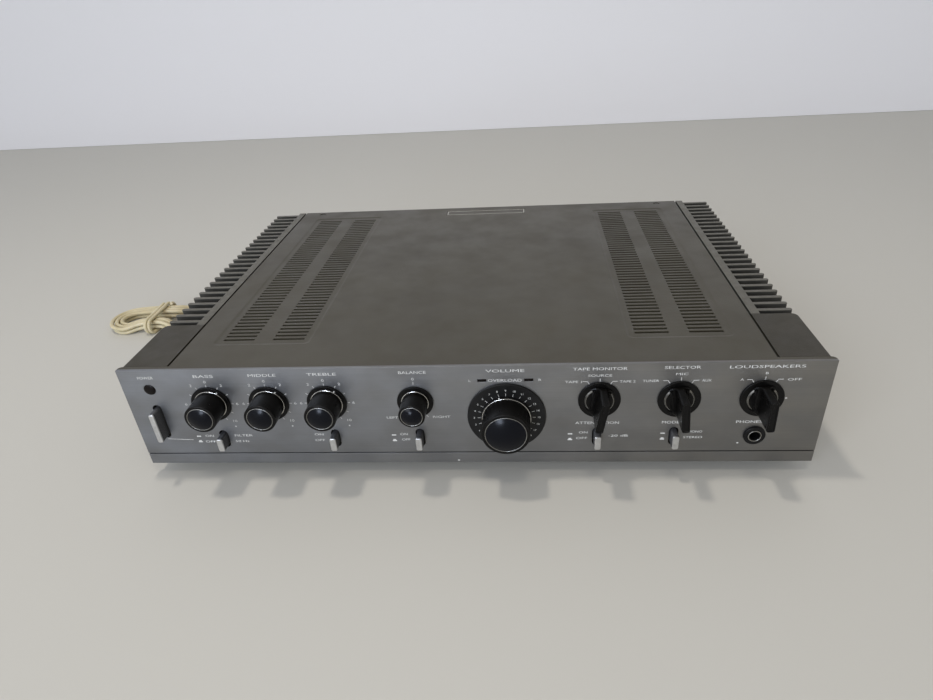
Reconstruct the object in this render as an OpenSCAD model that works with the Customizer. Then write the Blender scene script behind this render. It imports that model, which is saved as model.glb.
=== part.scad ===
// Integrated stereo amplifier: a low wide case with a brushed front panel, finned sides and
// a slotted top cover. X runs to the right, Y to the back, Z up. The origin lies on the
// ground, under the middle of the case with its knobs and its rear fittings.
// Inside the file everything is drawn from the front panel: y = 0 is the face of the
// fascia and z = 0 is the lower edge of the panel.

/* [Front panel] */
// Width of the front panel
panel_w = 460; // [440:1:500]
// Height of the front panel with its lower strip
panel_h = 79; // [74:1:95]
// Thickness of the brushed fascia and of the lower strip
fascia_t = 2; // [1.5:0.1:3]
// Thickness of the painted frame behind the fascia
frame_t = 3; // [2:0.5:6]
// Rounding of the rear corners of the frame
frame_corner_r = 2.8; // [0.5:0.1:3]
// Height of the lower strip
strip_h = 8.6; // [6:0.2:11]
// Groove between the lower strip and the fascia
strip_gap = 0.8; // [0.4:0.1:1.5]
// How far the panel stands out past each side of the case
panel_overhang = 2.5; // [1:0.5:6]

/* [Case] */
// Depth from the face of the fascia to the outside of the rear panel
body_d = 317; // [290:1:360]
// Thickness of the base, the rear panel and the inner plate
sheet_t = 1.5; // [1:0.1:2.5]
// Thickness of the top cover
lid_t = 1.5; // [1.2:0.1:2.5]
// Groove between the top cover and each side
lid_gap = 1.5; // [0.8:0.1:3]
// Height of the panel's lower edge above the ground
ground_gap = 10; // [6:0.5:16]
// Height of the base plate above the panel's lower edge
base_rise = 1.5; // [0.5:0.5:3]
// Width of the bars that carry the top cover
rail_w = 11; // [9:0.5:14]
// Height of the bars that carry the top cover
rail_h = 8; // [6:0.5:9]
// Radius of each foot on the ground
foot_r = 12; // [9:0.5:16]
// Distance of the feet from the sides of the case
foot_inset_x = 22; // [18:1:40]
// Distance of the feet from the front and the back
foot_inset_y = 32; // [25:1:60]

/* [Sides] */
// Width of each side block and of a heat sink with its fins
block_w = 30.5; // [28:0.5:36]
// Depth of the smooth block behind the panel
block_d = 58; // [54:1:70]
// Wall of the side block
block_wall = 3; // [2:0.5:4]
// Rounding of the block's outer rear edge
block_corner_r = 4.5; // [1:0.5:6]
// Thickness of the heat sink's base
sink_base_t = 6.3; // [5:0.1:8]
// Thickness of a fin
fin_t = 3.6; // [2.4:0.1:4.4]
// Spacing of the fins
fin_pitch = 10; // [8:0.1:12]
// Step from the block's side in to the fin tips
fin_set = 0.7; // [0:0.1:2]

/* [Vents] */
// Length of a slot, across the case
slot_len = 22.5; // [16:0.5:26]
// Width of a slot
slot_w = 2.3; // [1.5:0.1:3]
// Spacing of the slots
slot_pitch = 5.06; // [4.5:0.02:7]
// Gap between the two columns of slots of a grille
slot_column_gap = 13.5; // [8:0.5:20]
// Distance from the edge of the cover to the outer column
slot_inset = 23; // [18:0.5:30]
// Distance from the fascia to the first slot
slot_front = 40; // [34:0.5:60]
// Least distance from the last slot to the back
slot_back = 29; // [24:0.5:60]
// Margin of the pressed field around a grille
grille_margin_x = 6; // [4:0.2:9]
// Margin of the pressed field in front of and behind a grille
grille_margin_y = 8.5; // [4:0.5:12]
// Rounding of the corners of a pressed field
grille_corner_r = 4; // [1:0.5:6]
// Width of the pressed line round the bare plate frame
press_w = 1.2; // [0.6:0.1:2]
// Depth of the pressed fields and lines
press_d = 0.4; // [0.2:0.1:0.8]
// Width of the bare plate frame at the back of the cover
plate_w = 82; // [50:1:120]
// Depth of the bare plate frame
plate_d = 13; // [8:0.5:16]
// Distance of the bare plate frame from the back of the cover
plate_back = 10; // [6:0.5:14]

/* [Controls] */
// Bass knob, right of the panel's middle
bass_x = -171.3; // [-174:0.1:-169]
// Middle tone knob
mid_x = -131.3; // [-134:0.1:-129]
// Treble knob
treble_x = -91.6; // [-94:0.1:-89]
// Balance knob
balance_x = -32.3; // [-36:0.1:-28]
// Volume knob
volume_x = 27.4; // [24:0.1:32]
// Record monitor switch
monitor_x = 87.4; // [84:0.1:92]
// Source switch
source_x = 137.7; // [133:0.1:141]
// Speaker switch, with the headphone socket under it
speaker_x = 188.9; // [184:0.1:190]
// Tone, balance and switch axes below the panel's top edge
knob_drop = 27; // [25:0.2:28]
// Volume axis below the panel's top edge
volume_drop = 39.2; // [38:0.2:41]
// Filter button, right of the panel's middle
filter_x = -170; // [-174:0.1:-166]
// Tone button
tone_x = -90.7; // [-94:0.1:-87]
// Loudness button
loudness_x = -31.9; // [-36:0.1:-28]
// Mute button
mute_x = 86.9; // [83:0.1:91]
// Mode button
mode_x = 137.1; // [133:0.1:141]
// Push button row above the panel's lower edge
button_z = 22; // [20:0.2:23]
// Power button and power lamp from the panel's left end
power_inset = 19; // [17:0.2:21]
// Middle of the power button below the panel's top edge
power_drop = 41.7; // [40:0.2:43]
// Power lamp below the panel's top edge
lamp_drop = 15.2; // [14:0.2:17]
// Overload windows below the panel's top edge
window_drop = 11.2; // [10.6:0.1:11.6]
// Overload windows from the volume axis
window_side = 15; // [13:0.1:20]

/* [Knobs] */
// Gap between the panel and a knob's flange
knob_gap = 0.5; // [0.4:0.1:1]
// Radius of every control shaft
shaft_r = 3; // [2.5:0.1:3.2]
// Flange radius of a tone knob
tone_flange_r = 13.4; // [12.5:0.1:14]
// Body radius of a tone knob
tone_r = 10.6; // [9.5:0.1:11.2]
// Reach of a tone knob from the panel
tone_reach = 20; // [18:0.5:21.5]
// Flange radius of the balance knob
balance_flange_r = 12; // [11:0.1:13]
// Body radius of the balance knob
balance_r = 8.8; // [8.2:0.1:10]
// Reach of the balance knob from the panel
balance_reach = 18.6; // [17:0.2:21.5]
// Radius of the fixed volume dial
dial_r = 25.9; // [24:0.1:26]
// Thickness of the volume dial
dial_t = 2; // [1:0.1:2.2]
// Flange radius of the volume knob
volume_flange_r = 16.5; // [16.4:0.1:17.5]
// Body radius of the volume knob
volume_r = 15.9; // [14:0.1:15.9]
// Reach of the volume knob from the panel
volume_reach = 23.5; // [22:0.5:25]
// Flange radius of a switch knob
switch_flange_r = 13.6; // [12.5:0.1:14.5]
// Length of the grip of a switch knob
grip_len = 22; // [18:0.5:24]
// Width of the grip at its front
grip_w = 5; // [4.6:0.2:8]
// Fillet along the foot of the grip
grip_fillet_r = 2.5; // [1:0.5:3]
// Reach of a switch knob from the panel
switch_reach = 21.5; // [20:0.5:22]
// Tilt of the monitor grip as it stands, clockwise
monitor_tilt = 10; // [-12:1:12]
// Tilt of the source grip as it stands
source_tilt = -5; // [-12:1:12]
// Tilt of the speaker grip as it stands
speaker_tilt = -1.5; // [-12:0.5:12]

/* [Buttons] */
// Width of a push button
button_w = 4.3; // [3.5:0.1:4.8]
// Height of a push button
button_h = 10.4; // [8:0.2:12]
// Reach of a push button from the panel
button_reach = 8; // [6:0.2:10]
// Width of the slot round a push button
button_slot_w = 6; // [5.6:0.1:7]
// Height of the slot round a push button
button_slot_h = 14.6; // [13:0.2:16]
// Width of the power button
power_w = 3.8; // [3:0.1:4.6]
// Height of the power button
power_h = 23.3; // [20:0.1:25]
// Reach of the power button from the panel
power_reach = 8.9; // [7:0.1:11]
// Height of the slot round the power button
power_slot_h = 27.6; // [26.6:0.2:30]
// Travel of every button
button_travel = 4; // [2:0.5:5]
// Radius of the power lamp
lamp_r = 4; // [3:0.1:5]
// Width of an overload window
window_w = 5.7; // [4:0.1:8]
// Height of an overload window
window_h = 1.9; // [1.2:0.1:2.4]
// Bore of the headphone socket, for a plug of 6.35 mm
jack_bore_r = 3.25; // [3.2:0.05:3.4]
// Flange radius of the headphone socket
jack_flange_r = 7; // [6:0.1:8]
// Height of the headphone socket above the panel's lower edge
jack_z = 22.6; // [20:0.2:24]

/* [Works] */
// Gap from the frame to the inner plate that carries the controls
inner_gap = 9; // [8.5:0.5:14]
// Radius of a potentiometer's case
pot_r = 9; // [8:0.2:11]
// Depth of a potentiometer's case
pot_d = 18; // [14:0.5:24]
// Radius of a rotary switch's wafers
wafer_r = 14.5; // [11:0.5:15]
// Depth of a rotary switch
rotary_d = 30; // [20:1:36]
// Depth of a push switch
push_d = 28; // [22:1:34]
// Width of the transformer's core
core_w = 84; // [70:1:92]
// Height of the transformer's core
core_h = 60; // [50:1:66]
// Stack of the transformer's laminations
core_d = 40; // [30:1:46]
// Radius of a filter capacitor
can_r = 17.5; // [14:0.5:19]
// Height of a filter capacitor
can_h = 55; // [40:1:62]
// Thickness of the circuit boards
board_t = 1.6; // [1.2:0.1:2.4]
// Height of the pillars under the boards
pillar_h = 8; // [5:0.5:14]
// Reach of a fuse holder's cap behind the rear panel
fuse_reach = 14.5; // [10:0.5:18]
// Height of the lower row of rear fittings above the panel's lower edge
fitting_z = 26; // [22:0.5:34]

/* [Cord] */
// Diameter of the mains cord
cord_d = 4; // [3.6:0.1:4.2]
// Length of the tapered sleeve where the cord leaves the case
gland_len = 28; // [24:1:32]
// Diameter of the tie round the hank
tie_d = 3.4; // [2.4:0.1:3.6]

/* [Hidden] */
$fn = 64;
// Clearance of a shaft in its bush, and of seated pieces in their holes
run_gap = 0.05;
seat_gap = 0.1;
// Clearance of a button's stem in its switch
slide_gap = 0.3;
// Extra length of a cutting tool past the face that it cuts
cut = 1;

// Levels of the case, from the front and from the panel's lower edge
case_y = fascia_t + frame_t;
back_y = body_d;
base_z = base_rise + sheet_t;
lid_z = panel_h - lid_t;
rail_z = lid_z - rail_h;
block_x = panel_w / 2 - panel_overhang;
side_x = block_x - block_w;
lid_x = side_x - lid_gap;
sink_y = case_y + block_d;
sink_x = side_x + sink_base_t;
inner_y = case_y + inner_gap;
works_y = inner_y + sheet_t;
rear_y = back_y - sheet_t;
// Middle of the case with its longest knob and its longest rear fitting
mid_y = (back_y + fuse_reach - volume_reach) / 2;

// Control axes
knob_z = panel_h - knob_drop;
volume_z = panel_h - volume_drop;
power_x = power_inset - panel_w / 2;
power_z = panel_h - power_drop;
lamp_z = panel_h - lamp_drop;
window_z = panel_h - window_drop;
pot_axes = [[bass_x, knob_z], [mid_x, knob_z], [treble_x, knob_z], [balance_x, knob_z],
            [volume_x, volume_z]];
switch_axes = [[monitor_x, knob_z], [source_x, knob_z], [speaker_x, knob_z]];
button_axes = [for (x = [filter_x, tone_x, loudness_x, mute_x, mode_x]) [x, button_z]];
shaft_axes = concat(pot_axes, switch_axes);

// Bushes and shafts of the rotary controls
shaft_clear = 1.5;
bush_wall = 1.2;
bush_front = 6;
nut_wall = 2.6;
nut_t = 2;
shaft_depth = 10;
shaft_end_gap = 0.5;
shaft_hole_r = shaft_r + shaft_clear;
bush_r = shaft_r + bush_wall;
nut_r = bush_r + nut_wall;
shaft_end_y = works_y + shaft_depth;
shaft_bore_y = shaft_end_y + shaft_end_gap;
knob_bore_depth = 14;
knob_bore_gap = 0.2;
wafer_t = 2;
wafer_shares = [0.5, 0.85];

// Flanges, collars and edges of the knobs, and the caps of the round ones
knob_edge = 0.3;
knob_draft = 0.2;
collar_edge = 0.15;
cap_seat_d = 1.2;
cap_rim = 0.7;
cap_rise_share = 0.22;
cap_steps = 10;
cap_wall_share = 0.14;
flange_t = 1;
collar_t = 0.7;
collar_out = 0.2;
switch_disc_r = 9;
switch_disc_t = 1.6;
// Round bore of a switch knob, and the flat end of its shaft that goes on into the grip
switch_bore_depth = 2;
shaft_flat_w = 3.2;
grip_groove_w = 3;
grip_groove_len = 18;
grip_groove_d = 0.5;

// Stems of the push buttons
stem_w = 3;
stem_h = 6;
stem_shoulder = 1;
stem_depth = 8;
pocket_end_gap = 0.5;
stem_y = inner_y - button_travel - stem_shoulder;
stem_end_y = works_y + stem_depth;
pocket_y = stem_end_y + button_travel + pocket_end_gap;
push_w = 10;
push_h = 15;
power_stem_h = 14;
power_push_h = 22;

// Headphone socket
jack_flange_t = 1.6;
jack_ring_wall = 1;
jack_ring_out = 0.7;
jack_neck_wall = 0.9;
jack_ring_r = jack_bore_r + jack_ring_wall;
jack_neck_r = jack_ring_r + jack_neck_wall;
jack_bore_d = 30;
jack_body_d = 36;
jack_body_w = 14;

// Lamps behind the panel
lamp_tail = 5;
lamp_dome = 0.8;
lamp_end_y = case_y + lamp_tail;

// Vent slots
slot_count = floor((back_y - slot_front - slot_back) / slot_pitch) + 1;
slot_outer_x = lid_x - slot_inset;
slot_inner_x = slot_outer_x - slot_len - slot_column_gap;
grille_x0 = slot_inner_x - slot_len - grille_margin_x;
grille_x1 = slot_outer_x + grille_margin_x;
grille_y0 = slot_front - grille_margin_y;
grille_y1 = slot_front + (slot_count - 1) * slot_pitch + grille_margin_y;

// Gap at each end of the side bars under the cover
rail_end_gap = 0.4;

// Fins of the heat sinks
fin_first = 6;
fin_last = 2;
fin_first_y = sink_y + fin_first;
fin_x = block_x - fin_set;
fin_count = floor((back_y - fin_last - fin_first_y) / fin_pitch) + 1;

// Screws
screw_r = 1.5;
screw_head_r = 3;
screw_head_t = 1.8;
screw_len = 6;
screw_tip = 1;
lid_screw_inset = 19.5;
rear_screw_inset = 40;
sink_screw_inset = 25;
lid_screw_x = lid_x - lid_screw_inset;
lid_screw_y = rear_y - rail_w / 2;
rear_screw_x = side_x - rear_screw_inset;
rear_screw_z = rail_z + rail_h / 2;
sink_screw_x = side_x + sink_base_t / 2;
sink_screws_y = [sink_y + sink_screw_inset, (sink_y + back_y) / 2, back_y - sink_screw_inset];
foot_x = side_x - foot_inset_x;
foot_taper = 2;
foot_top_r = foot_r + foot_taper;
foot_head_r = 4;
foot_head_d = 5;
feet_y = [case_y + foot_inset_y, back_y - foot_inset_y];

// Transformer: a shell core with one winding on the middle leg
core_x = -115;
core_front = 140;
core_tab = 8;
core_tab_t = 3;
winding_gap = 0.3;
core_y = case_y + core_front;
core_leg = core_w / 6;
core_middle = 2 * core_leg;
winding_t = core_leg - 2 * winding_gap;
core_z = base_z + core_tab_t;

// Filter capacitors, in a row across the case
can_x = [-40, 0, 40, 80];
can_back = 60;
can_step = 2;
can_y = back_y - can_back;

// Circuit boards: left and right edge of each, and the rows of parts on them
boards = [[-55, 40], [60, 175]];
board_front = 63;
board_d = 110;
board_y = case_y + board_front;
board_z = base_z + pillar_h;
pillar_inset = 6;
pillar_r = 3;
part_h = 14;
part_r = 6;
part_inset = 20;
parts_in_row = 4;

// Output transistors on the inner faces of the heat sinks
can_flange_r = 12;
can_flange_t = 2;
can_cap_r = 9.5;
can_cap_t = 7;
transistor_space = 70;
transistors_y = [sink_y + transistor_space, sink_y + 2 * transistor_space];
transistor_z = panel_h / 2;

// Rear fittings
din_x = [45, 75, 105, 135, 165];
din_r = 8;
din_flange_r = 10.5;
din_flange_t = 1.8;
din_depth = 14;
din_pin_r = 0.8;
din_pin_circle = 3.5;
din_pin_step = 45;
socket_hole_d = 8;
speaker_x_rear = [-85, -60, -30, -5];
speaker_r = 7;
speaker_flange_r = 9;
speaker_pin_r = 1;
speaker_blade_t = 1.4;
speaker_blade_w = 4.4;
speaker_hole_off = 3;
fuse_x = [-135, -113];
fuse_r = 6;
fuse_neck_r = 5;
fuse_body_d = 26;
fuse_grip_t = 8;
fuse_collar = 1;
gland_inset = 65;
gland_x = gland_inset - panel_w / 2;
gland_r = 6;
gland_collar_r = 8;
gland_collar_t = 2;
gland_wall = 1;
gland_inside = 4;
gland_tip_r = cord_d / 2 + gland_wall;
gland_z = 20;

// Mains cord, lying on the ground
cord_r = cord_d / 2;
floor_z = -ground_gap;
cord_sides = 8;
// Route from the sleeve to the hank: straight out, down to the ground behind the case and
// forward along its left side. Points are from the case's rear left corner, with heights
// above the ground.
hank_from_corner = [-62, -105];
lead_points = [
    [gland_inset, gland_len, gland_z - floor_z], [65, 35, 30], [64, 43, 29.6], [61, 51, 28.5],
    [56, 58, 26.5], [49, 63, 24], [41, 66, 21], [33, 66, 17.6], [25, 64, 14],
    [17, 60, 10.6], [10, 55, 7.6], [4, 49, 5.2], [-1, 42, 3.4], [-4, 34, 2.4],
    [-6, 25, cord_r], [-7, 15, cord_r], [-7, 3, cord_r], [-7, -9, cord_r],
    [-7, -21, cord_r], [-7, -33, cord_r], [-7, -45, cord_r], [-7, -57, cord_r],
    [-7, -69, cord_r], [-8, -78, cord_r], [-11, -87, cord_r], [-16, -95, cord_r],
    [-23, -101, cord_r], [-31, -104, cord_r], [-41, -105, cord_r], [-52, -105, cord_r],
    [hank_from_corner[0], hank_from_corner[1], cord_r]];
corner = [-panel_w / 2, back_y, 0];
lead_route = [for (q = lead_points) corner + q];
hank_start = lead_route[len(lead_route) - 1];

// Hank: flat loops that spiral in on the lower layer, climb along a run and spiral out
// again on the upper one, drawn in at the waist where the tie goes round
hank_run = 78;
hank_fold_r = 3 * cord_d;
hank_side_gap = 1;
hank_step = cord_d + hank_side_gap;
hank_turn = 2.125;
hank_loops = 4.75;
hank_layer_gap = 0.7;
hank_layer = cord_d + hank_layer_gap;
hank_climb = 0.25;
hank_half = hank_run / 2;
hank_start_r = hank_fold_r + hank_step * hank_turn;
hank_end_r = hank_fold_r + hank_step * (hank_loops - hank_turn);
hank_x = hank_start[0] - cord_d - hank_half;
hank_y = hank_start[1] + hank_start_r;
hank_rings = 24;
hank_sides = 6;
tie_shift = 11;
tie_x = hank_x - tie_shift;
waist_in = 6;
waist_flat = 7;
waist_half = 28;
tie_gap = 0.4;
waist_up = tie_d + tie_gap;
// Tail from the last run round to the plug
tail_r = 5 * cord_d;
tail_straight = 6;
tail_steps = 4;

// Plug, flat on the ground at the height of the hank's upper layer
plug_z = cord_r + hank_layer;
plug_t = 2 * plug_z;
plug_w = 30;
plug_neck_w = 11;
plug_len = 36;
plug_neck = 12;
pin_r = 2;
pin_len = 19;
pin_space = 18.6;
plug_x = hank_x + hank_half + tail_straight + tail_r;
plug_y = hank_y + hank_end_r + tail_r + tail_straight;

// Moves a piece drawn from the front panel to the origin of the amplifier
module placed() translate([0, -mid_y, ground_gap]) children();

// Shapes that repeat
module block(low, high) translate(low) cube(high - low);
module rod_y(r, x, z, y0, y1) translate([x, y0, z]) rotate([-90, 0, 0]) cylinder(r = r, h = y1 - y0);
module rod_z(r, x, y, z0, z1) translate([x, y, z0]) cylinder(r = r, h = z1 - z0);
module both_sides() {
    children();
    mirror([1, 0, 0]) children();
}
// Upright bar with round ends, along Y
module stadium_y(w, h, x, z, y0, y1) {
    block([x - w / 2, y0, z - (h - w) / 2], [x + w / 2, y1, z + (h - w) / 2]);
    for (s = [-1, 1]) rod_y(w / 2, x, z + s * (h - w) / 2, y0, y1);
}
// Turned piece: outline points are [radius, distance out of the panel]
module turned(x, z, outline) translate([x, 0, z]) rotate([90, 0, 0]) rotate_extrude() polygon(outline);

// Every hole that the fascia and the frame share
module panel_holes() {
    for (a = shaft_axes) rod_y(shaft_hole_r, a[0], a[1], -cut, case_y + cut);
    for (a = button_axes) stadium_y(button_slot_w, button_slot_h, a[0], a[1], -cut, case_y + cut);
    stadium_y(button_slot_w, power_slot_h, power_x, power_z, -cut, case_y + cut);
    rod_y(lamp_r + seat_gap, power_x, lamp_z, -cut, case_y + cut);
    for (s = [-1, 1]) {
        x = volume_x + s * window_side;
        block([x - window_w / 2 - seat_gap, -cut, window_z - window_h / 2 - seat_gap],
              [x + window_w / 2 + seat_gap, case_y + cut, window_z + window_h / 2 + seat_gap]);
    }
    rod_y(jack_neck_r + seat_gap, speaker_x, jack_z, -cut, case_y + cut);
}

// Brushed aluminium face of the amplifier
module fascia() color("#8a8c8f") difference() {
    block([-panel_w / 2, 0, strip_h + strip_gap], [panel_w / 2, fascia_t, panel_h]);
    panel_holes();
}

// Brushed strip along the lower edge, below the groove
module lower_strip() color("#8a8c8f")
    block([-panel_w / 2, 0, 0], [panel_w / 2, fascia_t, strip_h]);

// Painted frame that backs the fascia and shows along its top and ends
module front_frame() color("#57544a") {
    r = min(frame_corner_r, frame_t);
    difference() {
        union() {
            block([-panel_w / 2, fascia_t, 0], [panel_w / 2, case_y - r, panel_h]);
            block([r - panel_w / 2, fascia_t, 0], [panel_w / 2 - r, case_y, panel_h]);
            for (s = [-1, 1]) intersection() {
                rod_z(r, s * (panel_w / 2 - r), case_y - r, 0, panel_h);
                block([-panel_w / 2, fascia_t, 0], [panel_w / 2, case_y, panel_h]);
            }
        }
        panel_holes();
    }
}

// Inner plate behind the panel, which holds the potentiometers and the switches
module inner_plate() color("#b9bcbf") difference() {
    half = block_x - block_wall - cut;
    block([-half, inner_y, base_z], [half, works_y, rail_z]);
    for (a = shaft_axes) rod_y(bush_r + seat_gap, a[0], a[1], inner_y - cut, works_y + cut);
    for (a = button_axes) block(
        [a[0] - stem_w / 2 - slide_gap, inner_y - cut, a[1] - stem_h / 2 - slide_gap],
        [a[0] + stem_w / 2 + slide_gap, works_y + cut, a[1] + stem_h / 2 + slide_gap]);
    block([power_x - stem_w / 2 - slide_gap, inner_y - cut, power_z - power_stem_h / 2 - slide_gap],
          [power_x + stem_w / 2 + slide_gap, works_y + cut, power_z + power_stem_h / 2 + slide_gap]);
    rod_y(jack_neck_r + seat_gap, speaker_x, jack_z, inner_y - cut, works_y + cut);
}

// Bottom sheet, which carries everything inside
module base_plate() color("#9a9c9e") difference() {
    union() {
        block([-sink_x, case_y, base_rise], [sink_x, back_y, base_z]);
        block([-block_x, case_y, base_rise], [block_x, sink_y - block_corner_r, base_z]);
    }
    for (s = [-1, 1], y = sink_screws_y)
        rod_z(screw_r + seat_gap, s * sink_screw_x, y, base_rise - cut, base_z + cut);
    for (s = [-1, 1], y = feet_y)
        rod_z(screw_r + seat_gap, s * foot_x, y, base_rise - cut, base_z + cut);
}

// Rear sheet with the sockets, the fuses and the mains cord
module rear_panel() color("#3b3b39") difference() {
    block([-side_x, rear_y, base_z], [side_x, back_y, lid_z]);
    for (x = din_x) rod_y(din_r + seat_gap, x, fitting_z, rear_y - cut, back_y + cut);
    for (x = speaker_x_rear) rod_y(speaker_r + seat_gap, x, fitting_z, rear_y - cut, back_y + cut);
    for (x = fuse_x) rod_y(fuse_neck_r + seat_gap, x, fitting_z, rear_y - cut, back_y + cut);
    rod_y(gland_r + seat_gap, gland_x, gland_z, rear_y - cut, back_y + cut);
    for (s = [-1, 1])
        rod_y(screw_r + seat_gap, s * rear_screw_x, rear_screw_z, rear_y - cut, back_y + cut);
}

// Field with round corners, pressed into the top cover round a grille
module pressed_field(x0, x1, y0, y1, r) {
    z0 = panel_h - press_d;
    z1 = panel_h + cut;
    block([x0 + r, y0, z0], [x1 - r, y1, z1]);
    block([x0, y0 + r, z0], [x1, y1 - r, z1]);
    for (x = [x0 + r, x1 - r], y = [y0 + r, y1 - r]) rod_z(r, x, y, z0, z1);
}

// Line pressed into the top cover along a rectangle
module pressed_frame(x0, x1, y0, y1) difference() {
    block([x0, y0, panel_h - press_d], [x1, y1, panel_h + cut]);
    block([x0 + press_w, y0 + press_w, panel_h - press_d - cut],
          [x1 - press_w, y1 - press_w, panel_h + 2 * cut]);
}

// Flat top cover with two slotted grilles in pressed fields and a bare pressed frame for a plate
module top_cover() color("#57544a") difference() {
    block([-lid_x, case_y, lid_z], [lid_x, back_y, panel_h]);
    both_sides() {
        for (x = [slot_inner_x, slot_outer_x], k = [0 : slot_count - 1]) {
            y = slot_front + k * slot_pitch;
            block([x - slot_len, y - slot_w / 2, lid_z - cut], [x, y + slot_w / 2, panel_h + cut]);
        }
        pressed_field(grille_x0, grille_x1, grille_y0, grille_y1, grille_corner_r);
        lid_screw_shape(seat_gap, cut);
    }
    pressed_frame(-plate_w / 2, plate_w / 2, back_y - plate_back - plate_d, back_y - plate_back);
}

// Countersunk screw at a rear corner of the cover
module lid_screw_shape(gap, over) translate([lid_screw_x, lid_screw_y, 0]) {
    translate([0, 0, lid_z]) cylinder(r1 = screw_r + gap, r2 = screw_head_r + gap, h = lid_t);
    if (over > 0) rod_z(screw_head_r + gap, 0, 0, panel_h, panel_h + over);
    rod_z(screw_r + gap, 0, 0, lid_z - screw_len, lid_z + seat_gap);
}

// Finned side plates that cool the output transistors
module heat_sinks() color("#3a3b3b") both_sides() difference() {
    union() {
        block([side_x, sink_y, base_z], [sink_x, back_y, panel_h]);
        for (k = [0 : fin_count - 1]) {
            y = fin_first_y + k * fin_pitch;
            block([sink_x - cut, y - fin_t / 2, base_z], [fin_x - fin_t / 2, y + fin_t / 2, panel_h]);
            rod_z(fin_t / 2, fin_x - fin_t / 2, y, base_z, panel_h);
        }
    }
    for (y = sink_screws_y) rod_z(screw_r + seat_gap, sink_screw_x, y, base_z - cut, base_z + screw_len);
}

// Hollow castings between the panel and the heat sinks, open to the front and the inside
module side_blocks() color("#57544a") both_sides() difference() {
    union() {
        block([side_x, case_y, base_z], [block_x - block_corner_r, sink_y, panel_h]);
        block([side_x, case_y, base_z], [block_x, sink_y - block_corner_r, panel_h]);
        rod_z(block_corner_r, block_x - block_corner_r, sink_y - block_corner_r, base_z, panel_h);
    }
    block([side_x - cut, case_y - cut, base_z - cut],
          [block_x - block_wall, sink_y - block_wall, panel_h - block_wall]);
}

// Bars round the top of the case, on which the cover lies
module cover_rails() color("#9a9c9e") {
    y0 = case_y + rail_w + rail_end_gap;
    y1 = rear_y - rail_w - rail_end_gap;
    block([-side_x, case_y, rail_z], [side_x, case_y + rail_w, lid_z]);
    difference() {
        block([-side_x, rear_y - rail_w, rail_z], [side_x, rear_y, lid_z]);
        both_sides() lid_screw_shape(seat_gap, 0);
        for (s = [-1, 1])
            rod_y(screw_r + seat_gap, s * rear_screw_x, rear_screw_z, back_y - screw_len, back_y);
    }
    both_sides() block([side_x - rail_w, y0, rail_z], [side_x, y1, lid_z]);
}

// Rubber feet with a recess for the screw
module feet() color("#262626") for (s = [-1, 1], y = feet_y) difference() {
    translate([s * foot_x, y, floor_z]) cylinder(r1 = foot_r, r2 = foot_top_r, h = ground_gap + base_rise);
    rod_z(screw_r + seat_gap, s * foot_x, y, floor_z - cut, base_rise + cut);
    rod_z(foot_head_r, s * foot_x, y, floor_z - cut, floor_z + foot_head_d);
}

// Every screw that shows from outside
module screws() color("#a5a6a6") {
    both_sides() lid_screw_shape(0, 0);
    for (s = [-1, 1]) {
        rod_y(screw_head_r, s * rear_screw_x, rear_screw_z, back_y, back_y + screw_head_t);
        rod_y(screw_r, s * rear_screw_x, rear_screw_z, back_y - screw_len + seat_gap, back_y + cut);
        for (y = sink_screws_y) {
            rod_z(screw_head_r, s * sink_screw_x, y, base_rise - screw_head_t, base_rise);
            rod_z(screw_r, s * sink_screw_x, y, base_rise - cut, base_z + screw_len - seat_gap);
        }
        for (y = feet_y) {
            rod_z(screw_head_r, s * foot_x, y, floor_z + foot_head_d - screw_head_t, floor_z + foot_head_d);
            rod_z(screw_r, s * foot_x, y, floor_z + foot_head_d - cut, base_z + screw_tip);
        }
    }
}

// Fixed dial behind the volume knob
module volume_dial() color("#191a1b") difference() {
    rod_y(dial_r, volume_x, volume_z, -dial_t, 0);
    rod_y(shaft_hole_r, volume_x, volume_z, -dial_t - cut, cut);
}

// Power lamp and the two overload windows, pressed into the panel from behind
module indicator_lamps() color("#2a0d0d") {
    dome_r = (lamp_r * lamp_r + lamp_dome * lamp_dome) / (2 * lamp_dome);
    rod_y(lamp_r, power_x, lamp_z, 0, lamp_end_y);
    intersection() {
        rod_y(lamp_r, power_x, lamp_z, -lamp_dome, cut);
        translate([power_x, dome_r - lamp_dome, lamp_z]) sphere(r = dome_r);
    }
    for (s = [-1, 1]) {
        x = volume_x + s * window_side;
        block([x - window_w / 2, 0, window_z - window_h / 2],
              [x + window_w / 2, lamp_end_y, window_z + window_h / 2]);
    }
}

// Headphone socket with a black flange and a bright mouth
module headphone_jack() color("#1b1b1c") difference() {
    union() {
        rod_y(jack_flange_r, speaker_x, jack_z, -jack_flange_t, 0);
        rod_y(jack_ring_r, speaker_x, jack_z, -jack_flange_t - jack_ring_out, 0);
        rod_y(jack_neck_r, speaker_x, jack_z, -cut / 2, works_y + cut / 2);
        block([speaker_x - jack_body_w / 2, works_y, jack_z - jack_body_w / 2],
              [speaker_x + jack_body_w / 2, works_y + jack_body_d, jack_z + jack_body_w / 2]);
    }
    rod_y(jack_bore_r, speaker_x, jack_z, -jack_flange_t - jack_ring_out - cut,
          jack_bore_d - jack_flange_t - jack_ring_out);
}

// One potentiometer or rotary switch body with its bush and its shaft bore
module control_body(x, z, r, depth) difference() {
    union() {
        rod_y(bush_r, x, z, inner_y - bush_front, works_y + cut);
        rod_y(r, x, z, works_y, works_y + depth);
    }
    rod_y(shaft_r + run_gap, x, z, inner_y - bush_front - cut, shaft_bore_y);
}

// Potentiometers of the tone, balance and volume controls
module potentiometers() color("#8d8f92") for (a = pot_axes) control_body(a[0], a[1], pot_r, pot_d);

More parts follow.
